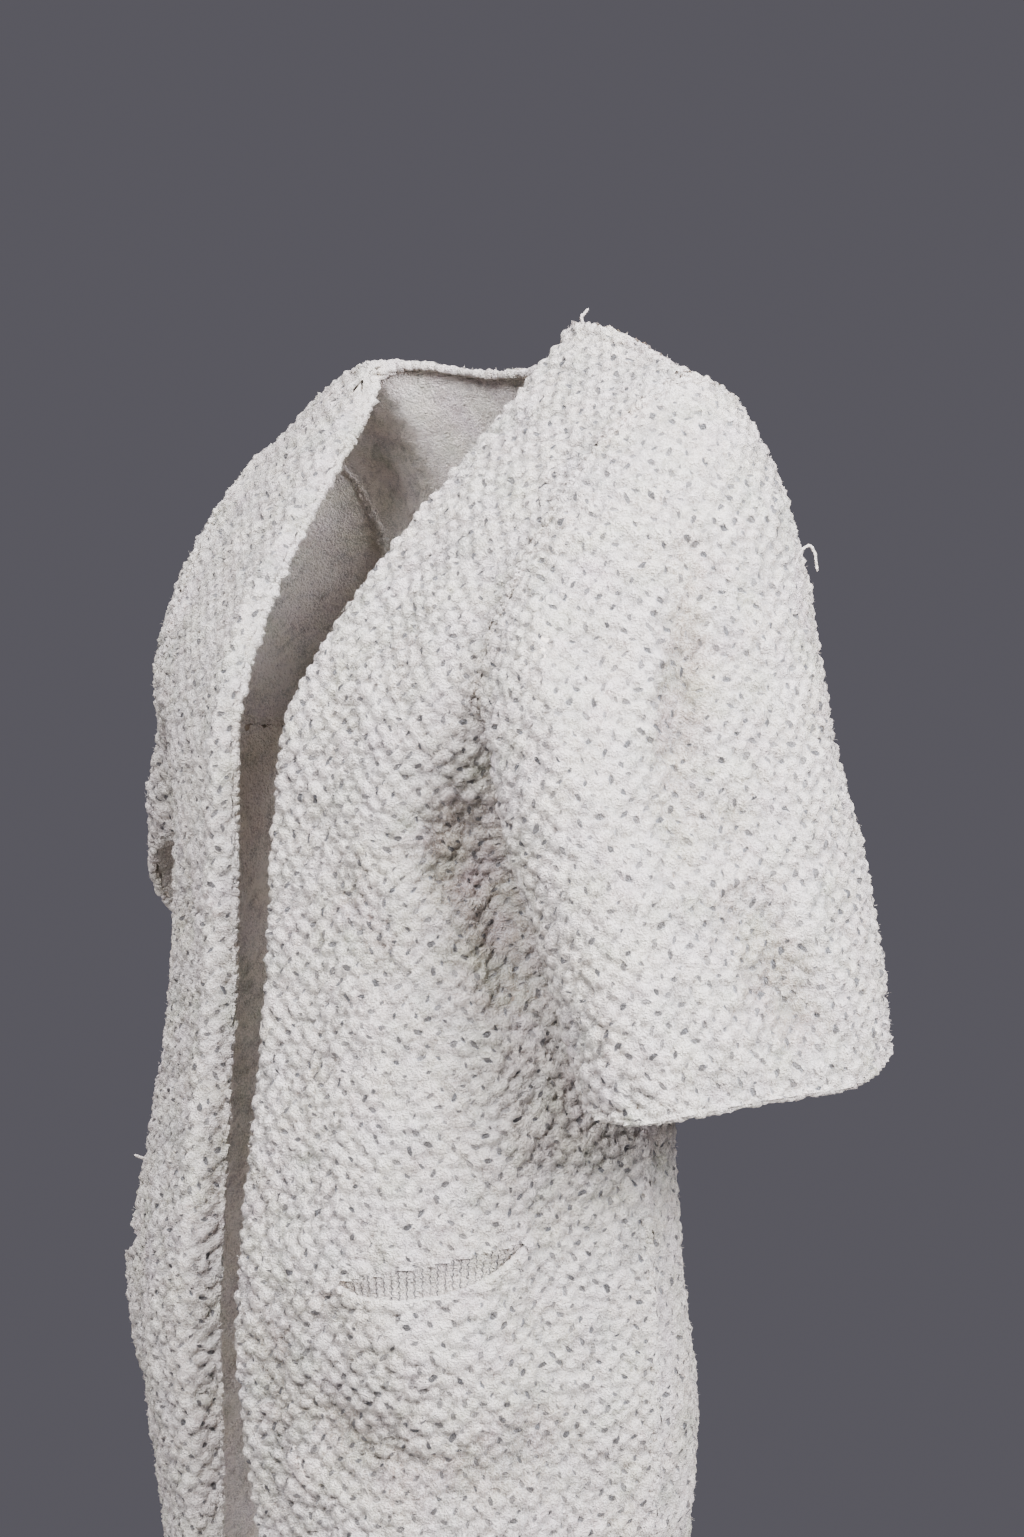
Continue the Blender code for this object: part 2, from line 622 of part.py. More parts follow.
def share_seam_normals(front, back):
    """Give the left front and the back the same normals along their seams, so the walls meet squarely."""
    for row in range(UNDERARM_ROW):
        shared = unit(front[row, 0] + back[row, 0])
        front[row, 0] = back[row, 0] = shared
        back[row, -1] = mirrored(shared)
    front[UNDERARM_ROW:, 0] = armhole_normals(armhole_angles(back=False))
    back[UNDERARM_ROW:, 0] = armhole_normals(armhole_angles(back=True))
    back[UNDERARM_ROW:, -1] = mirrored(back[UNDERARM_ROW:, 0])
    line = shoulder_line(FRONT_COLUMNS)
    slope = np.gradient(line, axis=0)
    front[TOP_ROW, 1:] = unit(np.stack([slope[1:, 2], slope[1:, 1], -slope[1:, 0]], axis=1))
    for column in range(1, SHOULDER_COLUMNS + 1):
        shared = front[TOP_ROW, column * FRONT_COLUMNS // SHOULDER_COLUMNS]
        back[TOP_ROW, column] = shared
        back[TOP_ROW, -1 - column] = mirrored(shared)


def make_body():
    """Both fronts with their linings, and the back."""
    front = front_grid()
    across = np.linspace(0, 1, FRONT_COLUMNS + 1)
    front = fold_panel(front, point_normals(front, 1), FRONT_FOLDS, across)
    back = back_grid()
    back = fold_panel(back, point_normals(back, -1), BACK_FOLDS, side_to_centre(back))
    front_normals = point_normals(front, 1)
    back_normals = point_normals(back, -1)
    share_seam_normals(front_normals, back_normals)
    make_front("front_left", "pocket_lining_left", 1, front, front_normals, LEFT_POCKET)
    make_front("front_right", "pocket_lining_right", -1, front, front_normals, RIGHT_POCKET)
    line = shoulder_line(FRONT_COLUMNS)
    make_back(back, back_normals, unit(line[-1] - line[-2]))


def clear_scene():
    """Start from an empty scene."""
    for leftover in list(bpy.data.objects):
        bpy.data.objects.remove(leftover, do_unlink=True)


clear_scene()
make_body()
make_sleeve("sleeve_left", 1, LEFT_SLEEVE, LEFT_SLEEVE_FOLDS)
make_sleeve("sleeve_right", -1, RIGHT_SLEEVE, RIGHT_SLEEVE_FOLDS)
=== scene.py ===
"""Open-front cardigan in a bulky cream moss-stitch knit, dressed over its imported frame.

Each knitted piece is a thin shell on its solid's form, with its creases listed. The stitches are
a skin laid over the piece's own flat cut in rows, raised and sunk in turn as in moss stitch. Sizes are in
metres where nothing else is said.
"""
import math
from collections import namedtuple

import bmesh
import bpy
import numpy as np
from mathutils import Matrix, Vector
from mathutils.bvhtree import BVHTree


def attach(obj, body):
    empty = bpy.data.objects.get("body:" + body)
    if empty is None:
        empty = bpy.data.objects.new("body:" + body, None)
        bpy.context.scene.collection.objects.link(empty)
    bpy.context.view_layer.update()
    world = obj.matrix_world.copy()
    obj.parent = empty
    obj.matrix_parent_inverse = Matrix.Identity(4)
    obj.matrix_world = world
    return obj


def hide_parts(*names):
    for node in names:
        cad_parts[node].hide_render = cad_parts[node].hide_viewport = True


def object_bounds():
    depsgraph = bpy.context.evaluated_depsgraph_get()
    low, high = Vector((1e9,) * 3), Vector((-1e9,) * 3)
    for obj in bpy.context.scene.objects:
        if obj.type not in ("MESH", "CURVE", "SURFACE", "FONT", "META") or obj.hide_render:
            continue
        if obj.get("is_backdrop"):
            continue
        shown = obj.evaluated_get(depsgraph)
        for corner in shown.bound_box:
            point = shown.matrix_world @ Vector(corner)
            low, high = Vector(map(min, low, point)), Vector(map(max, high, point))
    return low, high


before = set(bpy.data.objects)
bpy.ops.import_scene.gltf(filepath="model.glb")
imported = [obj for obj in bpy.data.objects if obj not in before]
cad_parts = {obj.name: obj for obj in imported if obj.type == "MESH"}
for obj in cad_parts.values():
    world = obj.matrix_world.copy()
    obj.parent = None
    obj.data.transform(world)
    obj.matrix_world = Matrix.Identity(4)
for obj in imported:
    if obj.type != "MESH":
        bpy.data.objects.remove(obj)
CAD_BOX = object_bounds()

bl_info = {
    "name": "Open-front cardigan",
    "version": (1, 0, 0),
    "blender": (4, 5, 0),
    "location": "View3D > Sidebar > Cardigan",
    "description": "Knits the cardigan's pieces over their packed solids and sets the stage",
    "category": "Object",
}

BODY = "root"

# How a solid is read: what is merged, joined and sharp, and how its two sides are told from its cut edge
MERGE_DISTANCE = 1e-5
SHARP_ANGLE = math.radians(50)
JOIN_ANGLE = math.radians(60)
UNWRAP_ROUNDS = 30
THICK_SHARE = 1.4
FACING_SHARE = 0.6
THIN_SHARE = 1 / 3
OUTER, INNER, EDGE, UNSORTED, FIRST_SIDE = 0, 1, 2, 3, 4

# Borders: how near counts as sewn, how far the skin runs past, and which lines are specks or pocket mouths
SELF_NEIGHBOURS = 5
SEAM_REACH = 0.0026
BORDER_REACH = 0.0029
STRETCH_STEPS = 2.6
SPECK_LENGTH = 0.04
LIP_LENGTH = 0.5

# Moss stitch: how far a stitch strays, as shares of the unevenness, and how full the hollows are
MARGIN_STITCHES = 2
WAVE_STITCHES = 9
WAVE_SHARE = 0.8
SHIFT_SHARE = 0.5
TURN_SHARE = 1.6
SWELL_SHARE = 0.5
SWELL_LIMITS = (-0.3, 0.35)
PIT_FILL = 0.35
PIT_REACH = 0.34

# Pits of painted shade: stray of their outline, chance in their place, stroke, spread in size and least
# darkness
PIT_STRAY = 0.30
PIT_CHANCE = 0.45
PIT_STROKE = (1.3, 0.7, 0.0)
PIT_SPREAD = 0.11
PIT_DARK = 0.65
PIT_BUMP = 0.4

# Wool: its rough, hardly glossy finish, its flecks and pile, and tints that grow from shade to cream
WOOL_FINISH = {"Roughness": 0.95, "Specular IOR Level": 0.2}
FLECKS = 0.9
PILE = 0.5
YARN_TINT, EDGE_TINT, LOOSE_TINT, FIBRE_TINT = 0.40, 0.42, 0.45, 0.5
TINT_SPREAD, LINING_SPREAD = 0.06, 0.05

# Plain lining: how it comes forward under the upper edge of the pocket mouth, and how its columns sway
BROW_REACH = 0.013
BROW_COVER = 0.009
BROW_LIFT = 0.0022
BROW_SHARE = 0.25
COLUMN_SWAY = 0.1

# Loops of yarn: sides round and along a bead, its lumps, and how far loops stray in size and turn (radians)
Stray = namedtuple("Stray", "size turn")
LOOP_SIDES, SEAM_SIDES = (6, 4), (5, 4)
LUMPY_KINDS = 4
BEAD_LUMPS = 0.10
LIP_STRAY, EDGE_STRAY, SEAM_STRAY = Stray(0.05, 0.1), Stray(0.16, 0.6), Stray(0.14, 0.9)
EDGE_LIFT = 0.0004
SEAM_SINK = (-0.0004, 0.0008)
LOOSE_BEADS = 12
LOOSE_SIDE = (0.3, -0.8, 0.5)

# Fibres of the fuzz: lean in radians, height of the foot, half sizes and how they spread
FIBRE_LEAN = (0.2, 1.3)
FIBRE_FOOT = (0.0018, 0.0036)
FIBRE_SIZE = (0.00018, 0.00018, 0.0012)
FIBRE_SPREAD = (0.6, 1.4)

# Creases: how deep they reach, how they fade and ripple along their line, and how the tint follows them:
# painted shade in a trough, painted light on a ridge
CREASE_REACH = 0.025
CREASE_STEPS = 28
CREASE_TAPER = 0.6
CREASE_RIPPLE = 0.2
RIPPLE_TURN, RIPPLE_SHIFT, RIPPLE_START = 9.0, 2.1, 2.5
CREASE_FULL = 0.010
PAINTED_CREASE_SHADE = 0.24
RIDGE_SHARE = 0.5

# Flat cut of each piece: thickness of its wall, width and length it was knitted to, area, fineness of its
# skin, and how often its form is rounded
Cut = namedtuple("Cut", "node slot wall width length area step levels")
PANEL_CUTS = (
    Cut("back", "moss_knit", 0.005, 0.47, 0.87, 0.36, 0.0029, 1),
    Cut("front_left", "moss_knit", 0.005, 0.31, 0.87, 0.20, 0.0018, 1),
    Cut("front_right", "moss_knit", 0.005, 0.31, 0.87, 0.20, 0.0020, 1),
)
SLEEVE_CUTS = (
    Cut("sleeve_left", "moss_knit", 0.005, 0.57, 0.43, 0.17, 0.0018, 2),
    Cut("sleeve_right", "moss_knit", 0.005, 0.55, 0.39, 0.125, 0.0020, 2),
)
LINING_CUTS = (
    Cut("pocket_lining_left", "smooth_knit", 0.003, 0.125, 0.14, 0.016, 0.0011, 1),
    Cut("pocket_lining_right", "smooth_knit", 0.003, 0.125, 0.14, 0.016, 0.0011, 1),
)

# Camera, floor and lamps: each lamp's place toward the camera, to its right and up, its size and its watts
PHOTO_HEIGHT = 1537
SENSOR_HEIGHT = 36.0
FLOOR_SIDES = 96
LAMP_AIM = (0.1, -0.05, -0.35)
Lamp = namedtuple("Lamp", "name toward right up size power")
LAMPS = (
    Lamp("key", 1.5, 0.95, 0.35, 0.95, 152.0),
    Lamp("fill", 1.45, -0.55, 0.9, 1.2, 122.0),
    Lamp("top", 0.5, 0.0, 1.6, 1.6, 48.0),
    Lamp("rear", -1.8, -0.5, 0.8, 1.6, 75.0),
)

# A flat cut, frames on the cloth, a small form, what stitches do to the cloth, a crease and a loose end
Flat = namedtuple("Flat", "points normals places triangles")
Spots = namedtuple("Spots", "point across up out")
Bead = namedtuple("Bead", "points triangles")
Relief = namedtuple("Relief", "height depth tint stitch")
Crease = namedtuple("Crease", "out half_width depth line")
LooseEnd = namedtuple("LooseEnd", "node line")


def crease(out, half_width, depth, *line):
    """A crease from its sizes in millimetres."""
    return Crease(out, half_width / 1000, depth / 1000, np.array(line) / 1000)


# Creases of each piece: the way the cloth is pushed, then in millimetres the half width, the depth (minus is
# a trough) and the places that the line goes through
CREASES = {
    "sleeve_left": (
        crease((0.87, -0.42, 0.26), 16, -13.5, (264, -37, -138), (272, -44, -178), (278, -54, -218),
               (283, -66, -257), (291, -69, -293), (301, -71, -335)),
        crease((0.84, -0.47, 0.27), 14, 4.5, (256, -56, -155), (266, -68, -201), (274, -78, -246),
               (282, -87, -291)),
        crease((0.95, -0.28, 0.15), 22, -11.5, (307, -41, -335), (318, -27, -374), (327, -13, -408),
               (332, -3, -436)),
        crease((0.96, -0.2, 0.17), 14, -5, (295, -45, -279), (304, -34, -307), (309, -34, -335)),
        crease((0.98, 0.04, 0.15), 10, 4, (314, -5, -336), (324, 12, -381), (331, 21, -426)),
        crease((0.9, 0.4, 0.2), 16, -5, (270, 50, -170), (280, 66, -240), (290, 78, -310)),
        crease((0.4, 0.9, 0.1), 18, 4, (240, 80, -220), (262, 86, -300), (280, 88, -380)),
    ),
    "sleeve_right": (
        crease((-0.8, -0.55, 0.22), 15, -5, (-262, -55, -160), (-276, -58, -220), (-290, -55, -280)),
        crease((-0.95, 0.2, 0.2), 18, 4, (-262, 20, -140), (-290, 30, -230), (-310, 40, -310)),
        crease((-0.6, 0.8, 0.1), 17, -4.5, (-245, 85, -200), (-265, 105, -290), (-275, 115, -380)),
    ),
    "front_left": (
        crease((0.92, -0.38, 0), 17, -12.5, (156, -113, -291), (158, -100, -332), (162, -92, -373),
               (168, -82, -415)),
        crease((0.88, -0.47, 0), 30, -6.5, (155, -121, -262), (153, -113, -332), (157, -105, -373),
               (166, -90, -425)),
        crease((0.78, -0.62, 0), 16, -8, (152, -122, -290), (145, -124, -320), (150, -116, -356)),
        crease((0.4, -0.91, 0.05), 16, -4, (71, -161, -292), (88, -159, -333), (118, -151, -385),
               (147, -135, -450)),
        crease((0.62, -0.76, -0.2), 23, -7.5, (89, -187, -631), (119, -173, -663), (153, -140, -682),
               (177, -100, -674), (183, -60, -649)),
        crease((0.8, -0.6, -0.03), 16, 4, (134, -175, -591), (165, -148, -607), (181, -110, -591)),
        crease((0.21, -0.97, 0), 18, -6, (79, -188, -574), (61, -194, -629), (62, -188, -689)),
        crease((0.98, -0.15, 0), 24, 3.5, (181, -36, -528), (186, -25, -600), (185, -32, -676)),
        crease((0.22, -0.9, 0.36), 20, -3, (108, -108, -149), (113, -133, -197), (113, -147, -245)),
    ),
    "front_right": (
        crease((-0.92, -0.4, 0), 18, -4, (-157, -114, -275), (-158, -102, -340), (-164, -90, -410)),
        crease((-0.4, -0.9, 0.08), 20, -3.5, (-75, -164, -330), (-112, -156, -400), (-140, -140, -480)),
        crease((-0.2, -0.97, 0.05), 12, 3.5, (-92, -169, -474), (-60, -192, -590), (-74, -180, -721)),
        crease((-0.62, -0.78, -0.1), 16, -4, (-98, -180, -655), (-148, -147, -685), (-178, -96, -672)),
    ),
    "back": (
        crease((0.3, 0.95, 0.05), 22, -4.5, (150, 60, -280), (110, 80, -350), (70, 85, -430)),
        crease((-0.3, 0.95, 0.05), 20, -4, (-150, 60, -270), (-105, 80, -345), (-60, 85, -410)),
        crease((0, 1, 0), 26, 4, (20, 85, -480), (30, 95, -620), (15, 90, -780)),
        crease((0, 1, 0), 20, -4, (-85, 85, -560), (-78, 88, -680), (-90, 80, -800)),
        crease((0.2, 0.95, 0.2), 22, -3, (130, 70, -120), (60, 95, -150), (0, 100, -145)),
    ),
}

# Loose ends of yarn that stand off a piece, each from its foot to its tip
LOOSE_ENDS = (
    LooseEnd("sleeve_left", (
        (0.2665, 0.0414, -0.1540), (0.2675, 0.0428, -0.1488), (0.2696, 0.0456, -0.1441),
        (0.2717, 0.0484, -0.1424), (0.2735, 0.0507, -0.1470), (0.2742, 0.0516, -0.1557))),
    LooseEnd("front_left", (
        (0.1221, -0.0024, -0.0041), (0.1221, -0.0024, -0.0001), (0.1215, -0.0032, 0.0039),
        (0.1233, -0.0008, 0.0074))),
    LooseEnd("front_right", (
        (-0.1137, -0.1700, -0.5241), (-0.1161, -0.1732, -0.5231), (-0.1185, -0.1764, -0.5216))),
)


def length_setting(name, default, description):
    """Setting that is a length."""
    return bpy.props.FloatProperty(name=name, description=description, default=default, unit="LENGTH")


def half_size_setting(name, default, loop):
    """Setting for the three half sizes of a loop of yarn."""
    description = "Half length, half width and half height of " + loop
    return bpy.props.FloatVectorProperty(
        name=name, description=description, default=default, size=3, unit="LENGTH")


def colour_setting(name, default, description):
    """Setting that is a colour, as an sRGB hex value."""
    return bpy.props.StringProperty(name=name, description=description + ", as sRGB hex", default=default)


class KnitSettings(bpy.types.PropertyGroup):
    """Sizes of the stitches and how even they are."""
    stitch_width: length_setting("Stitch width", 0.0066, "Distance between neighbouring stitches of a row")
    stitch_height: length_setting("Stitch height", 0.0072, "Distance between neighbouring rows")
    purl_size: half_size_setting("Purl bump", (0.0050, 0.0041, 0.0033), "a raised stitch")
    knit_size: half_size_setting("Knit leaf", (0.0034, 0.0023, 0.0020), "a sunk stitch")
    inside_step: length_setting("Inside step", 0.0046, "Fineness of the inner face of the knit")
    inside_share: bpy.props.FloatProperty(
        name="Inside relief", description="Height of the stitches inside as a share of those outside",
        default=0.5, subtype="FACTOR")
    grain: length_setting("Grain", 0.00045, "Height of the yarn's own small curls")
    skin_lift: length_setting(
        "Skin lift", 0.0009, "How far the bottom of the stitches lies over the ground")
    edge_size: half_size_setting("Edge loop", (0.0054, 0.0040, 0.0034), "a loop along an edge")
    edge_gap: length_setting("Edge gap", 0.0058, "Distance between neighbouring loops along an edge")
    lip_size: half_size_setting("Lip loop", (0.0068, 0.0034, 0.0034), "a bound-off loop of a pocket")
    fuzz: bpy.props.FloatProperty(
        name="Fuzz", description="Loose fibres on each square metre", default=26000.0)
    end_size: half_size_setting("Loose end", (0.0024, 0.0010, 0.0010), "a bead of loose yarn")
    seam_size: half_size_setting("Seam stitch", (0.0044, 0.0032, 0.0024), "a stitch over a seam")
    leaf_height: length_setting("Lining leaf", 0.0011, "Height of a column of plain stitches")
    mouth_depth: length_setting("Mouth depth", 0.045, "How far down the lining its stitches show")
    lining_stitch: bpy.props.FloatVectorProperty(
        name="Lining stitch", description="Column and row spacing of the plain lining",
        default=(0.0044, 0.0042), size=2, unit="LENGTH")
    ground_depth: length_setting(
        "Ground depth", 0.0016, "How far the ground of the knit lies under the solid's face")
    unevenness: bpy.props.FloatProperty(
        name="Unevenness", description="How far stitches stray in place, size and turn", default=0.28,
        min=0.0, max=1.0, subtype="FACTOR")
    seed: bpy.props.IntProperty(name="Seed", description="Start of the even randomness", default=7)


class YarnSettings(bpy.types.PropertyGroup):
    """Colours of the yarn."""
    cream: colour_setting("Cream", "F2E3D2", "Main colour of the yarn")
    # Shade: the darker fibres' colour, and also the colour that painted shade turns the troughs of the
    # creases to
    shade: colour_setting("Shade", "AB9985", "Colour of the yarn's darker fibres")
    # Ground: a painted shade colour, taken by the dark ground between the stitches and by the painted pits,
    # hollows and lines
    ground: colour_setting("Ground", "3E362E", "Colour deep between the stitches")


class StageSettings(bpy.types.PropertyGroup):
    """Camera, floor and light."""
    distance: length_setting("Camera distance", 2.0, "From the garment's upright axis to the camera")
    azimuth: bpy.props.FloatProperty(
        name="Camera azimuth", description="Turn of the camera from the wearer's front to the left",
        default=math.radians(53.0), subtype="ANGLE")
    height: length_setting("Camera height", -0.273, "Height of the camera over the shoulder points")
    sideways: length_setting("Camera sideways", 0.028, "How far the camera stands to its right")
    focal_pixels: bpy.props.FloatProperty(
        name="Focal length", description="Focal length in pixels of the photograph", default=3100.0)
    floor_drop: length_setting("Floor drop", 1.45, "How far the floor lies under the shoulder points")
    floor_radius: length_setting("Floor radius", 1.7, "Radius of the floor")
    floor_colour: colour_setting("Floor colour", "C9C7C6", "Colour of the floor")
    light_colour: colour_setting("Light colour", "ECF1FF", "Colour of the lamps")
    backdrop_colour: colour_setting("Backdrop colour", "5C5A62", "Colour behind the garment")


def to_linear(code):
    """Linear colour of an sRGB hex value."""
    values = [int(code[place:place + 2], 16) / 255 for place in (0, 2, 4)]
    linear = [v / 12.92 if v <= 0.04045 else ((v + 0.055) / 1.055) ** 2.4 for v in values]
    return (*linear, 1.0)


def per_size(millimetres):
    """Texture scale that repeats once in a real size."""
    return 1000.0 / millimetres


def add_node(tree, kind, links=None, **settings):
    """Outputs of a new shader node, with its inputs linked to sockets or set to plain values."""
    node = tree.nodes.new("ShaderNode" + kind)
    for name, value in settings.items():
        setattr(node, name, value)
    for name, source in (links or {}).items():
        if isinstance(source, bpy.types.NodeSocket):
            tree.links.new(source, node.inputs[name])
        else:
            node.inputs[name].default_value = source
    return node.outputs


def new_material(name):
    """Material with an empty node tree, and that tree."""
    material = bpy.data.materials.new(name)
    material.use_nodes = True
    material.node_tree.nodes.clear()
    return material, material.node_tree


def finish(tree, looks):
    """End of a material: the Principled shader with its links and plain values, on the output."""
    surface = add_node(tree, "BsdfPrincipled", looks)["BSDF"]
    add_node(tree, "OutputMaterial", {"Surface": surface})


def looped_wool(name, yarn, shade_of):
    """Matt looped wool between two shades, sunk and darkened with painted shade where a function of the tree
    and place says so.

    The curls are about 1 mm in the real yarn and are drawn three times as coarse, so that they show.
    """
    material, tree = new_material(name)
    place = add_node(tree, "TexCoord")["Object"]
    curls = add_node(tree, "TexNoise", {
        "Vector": place, "Scale": per_size(3.2), "Detail": 4.0, "Roughness": 0.7})["Fac"]
    cloud = add_node(tree, "TexNoise", {"Vector": place, "Scale": per_size(26.0), "Detail": 2.0})
    fuzz = add_node(tree, "TexNoise", {
        "Vector": place, "Scale": per_size(1.3), "Detail": 2.0, "Roughness": 0.6})["Fac"]
    tint = add_node(tree, "Attribute", attribute_name="tint")["Fac"]
    grain = add_node(tree, "Math", {0: fuzz, 1: FLECKS, 2: -FLECKS / 2}, operation="MULTIPLY_ADD")[0]
    flecked = add_node(tree, "Math", {0: tint, 1: grain}, operation="ADD")[0]
    share = add_node(tree, "Math", {
        0: curls, 1: cloud["Fac"], 2: flecked}, operation="MULTIPLY_ADD")[0]
    spread = add_node(tree, "MapRange", {
        "Value": share, "From Min": 0.36, "From Max": 0.74, "To Min": 0.0, "To Max": 1.0})["Result"]
    colour = add_node(tree, "Mix", {
        "Factor": spread, "A": to_linear(yarn.shade), "B": to_linear(yarn.cream)}, data_type="RGBA")[2]
    tinged = add_node(tree, "Mix", {
        "Factor": 0.16, "A": colour, "B": cloud["Color"]}, data_type="RGBA", blend_type="OVERLAY")[2]
    # Painted shade: the yarn darkens toward the ground colour where the function marks pits, hollows or
    # grooves
    painted_shade = shade_of(tree, place)
    shaded = add_node(tree, "Mix", {
        "Factor": painted_shade, "A": tinged, "B": to_linear(yarn.ground)}, data_type="RGBA")[2]
    pile = add_node(tree, "Math", {0: fuzz, 1: PILE, 2: curls}, operation="MULTIPLY_ADD")[0]
    height = add_node(tree, "Math", {0: painted_shade, 1: -PIT_BUMP, 2: pile}, operation="MULTIPLY_ADD")[0]
    bump = add_node(tree, "Bump", {"Height": height, "Strength": 1.0, "Distance": 0.008})["Normal"]
    finish(tree, {
        **WOOL_FINISH, "Base Color": shaded, "Normal": bump, "Sheen Weight": 0.25, "Sheen Roughness": 0.6})
    return material


def sunk_share(tree, start, end, most):
    """Share of dark painted shade that grows with the depth kept on the points, so the hollows darken."""
    depth = add_node(tree, "Attribute", attribute_name="depth")["Fac"]
    return add_node(tree, "MapRange", {
        "Value": depth, "From Min": start, "From Max": end, "To Min": 0.0, "To Max": most})["Result"]


def stitch_pits(tree, place):
    """Painted shade: a dark pit beside every other stitch, uneven in size and outline, and softer dark in
    all the hollows.
    """
    stitch = add_node(tree, "Attribute", attribute_name="stitch")["Vector"]
    curl = add_node(tree, "TexNoise", {"Vector": place, "Scale": per_size(2.6), "Detail": 2.0})["Color"]
    stray = add_node(tree, "VectorMath", {0: curl, 1: (0.5, 0.5, 0.5)}, operation="SUBTRACT")[0]
    strayed = add_node(tree, "VectorMath", {
        0: stray, 1: (PIT_STRAY,) * 3, 2: stitch}, operation="MULTIPLY_ADD")[0]
    every_other = add_node(tree, "Mapping", {
        "Vector": strayed, "Location": (PIT_CHANCE / 2 - 0.5, PIT_CHANCE / 2 - 0.5, 0.0),
        "Rotation": (0.0, 0.0, -math.pi / 4), "Scale": (math.sqrt(0.5), math.sqrt(0.5), 1.0)})[0]
    pits = add_node(tree, "TexVoronoi", {
        "Vector": every_other, "Scale": 1.0, "Randomness": PIT_CHANCE}, voronoi_dimensions="2D")
    lot = add_node(tree, "SeparateColor", {"Color": pits["Color"]})
    off = add_node(tree, "VectorMath", {0: every_other, 1: pits["Position"]}, operation="SUBTRACT")[0]
    turn = add_node(tree, "Math", {0: lot["Green"], 1: math.pi}, operation="MULTIPLY")[0]
    lying = add_node(tree, "VectorRotate", {"Vector": off, "Angle": turn}, rotation_type="Z_AXIS")[0]
    stroke = add_node(tree, "VectorMath", {0: lying, 1: PIT_STROKE}, operation="MULTIPLY")[0]
    length = add_node(tree, "VectorMath", {0: stroke}, operation="LENGTH")["Value"]
    rim = add_node(tree, "Math", {
        0: lot["Red"], 1: -PIT_SPREAD, 2: length}, operation="MULTIPLY_ADD")[0]
    dark = add_node(tree, "Math", {
        0: lot["Blue"], 1: 1 - PIT_DARK, 2: PIT_DARK}, operation="MULTIPLY_ADD")[0]
    painted_shade = add_node(tree, "MapRange", {
        "Value": rim, "From Min": 0.14, "From Max": 0.06, "To Min": 0.0, "To Max": dark})["Result"]
    hollows = sunk_share(tree, 0.25, 1.0, 0.35)
    return add_node(tree, "Math", {0: painted_shade, 1: hollows}, operation="MAXIMUM")[0]


def column_lines(tree, place):
    """Thin broken dark lines of painted shade between the columns of plain stitch."""
    stitch = add_node(tree, "Attribute", attribute_name="stitch")["Vector"]
    column = add_node(tree, "SeparateXYZ", {"Vector": stitch})["X"]
    curl = add_node(tree, "TexNoise", {"Vector": place, "Scale": per_size(3.0), "Detail": 1.0})["Fac"]
    strayed = add_node(tree, "Math", {0: curl, 1: PIT_STRAY, 2: column}, operation="MULTIPLY_ADD")[0]
    across = add_node(tree, "Math", {0: strayed, 1: 0.5}, operation="PINGPONG")[0]
    broken = add_node(tree, "MapRange", {
        "Value": curl, "From Min": 0.30, "From Max": 0.55, "To Min": 0.2, "To Max": 0.9})["Result"]
    return add_node(tree, "MapRange", {
        "Value": across, "From Min": 0.14, "From Max": 0.02, "To Min": 0.0, "To Max": broken})["Result"]


def boucle_yarn(yarn):
    """Bulky looped wool yarn: matt, soft and nearly white, with curls that break up the light and painted
    shade in its hollows.
    """
    return looped_wool("boucle_yarn", yarn, lambda tree, place: sunk_share(tree, 0.25, 1.0, 0.5))


def plain_yarn(yarn):
    """The same wool in plain stitch: upright columns with thin dark lines of painted shade between them."""
    return looped_wool("plain_yarn", yarn, column_lines)


def moss_yarn(yarn):
    """The same wool knitted in moss stitch: small dark pits of painted shade between the stitches, beside
    every other one.
    """
    return looped_wool("moss_yarn", yarn, stitch_pits)


def painted_shade_ground(yarn):
    """The ground between the stitches: the same wool in painted deep shade, with the loops just felt."""
    return loop_ground("painted_shade_ground", yarn.ground, yarn.shade)


def purl_ground(yarn):
    """The inside of the knit between its bumps: the same wool, paler, as light reaches its loops."""
    return loop_ground("purl_ground", yarn.shade, yarn.cream)


def loop_ground(name, dark, light):
    """Close loops of wool between two shades."""
    material, tree = new_material(name)
    place = add_node(tree, "TexCoord")["Object"]
    loops = add_node(tree, "TexNoise", {"Vector": place, "Scale": per_size(4.0), "Detail": 3.0})["Fac"]
    colour = add_node(tree, "Mix", {
        "Factor": loops, "A": to_linear(dark), "B": to_linear(light)}, data_type="RGBA")[2]
    bump = add_node(tree, "Bump", {"Height": loops, "Strength": 1.0, "Distance": 0.002})["Normal"]
    finish(tree, {**WOOL_FINISH, "Base Color": colour, "Normal": bump})
    return material


def made_once(yarn, *makers):
    """The materials of some makers, each made the first time it is asked for."""
    return [bpy.data.materials.get(make.__name__) or make(yarn) for make in makers]


def link_object(name, data):
    """New object in the scene."""
    thing = bpy.data.objects.new(name, data)
    bpy.context.collection.objects.link(thing)
    return thing


def add_object(name, mesh, materials, slot):
    """Finished piece of the garment, riding on the frame."""
    for material in materials:
        mesh.materials.append(material)
    piece = link_object(name, mesh)
    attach(piece, BODY)
    return piece


def merged_solid(cut):
    """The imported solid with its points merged, its sides numbered and its triangles joined in pairs."""
    solid = bmesh.new()
    solid.from_mesh(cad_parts[cut.node].data)
    bmesh.ops.remove_doubles(solid, verts=solid.verts, dist=MERGE_DISTANCE)
    number_sides(solid, cut.wall)
    bmesh.ops.join_triangles(
        solid, faces=solid.faces, cmp_materials=True, angle_face_threshold=JOIN_ANGLE,
        angle_shape_threshold=JOIN_ANGLE)
    crease = solid.edges.layers.float.new("crease_edge")
    for edge in solid.edges:
        edge.seam = len({face.material_index for face in edge.link_faces}) > 1
        edge[crease] = 1.0 if edge.seam or edge.calc_face_angle(0.0) > SHARP_ANGLE else 0.0
    return solid


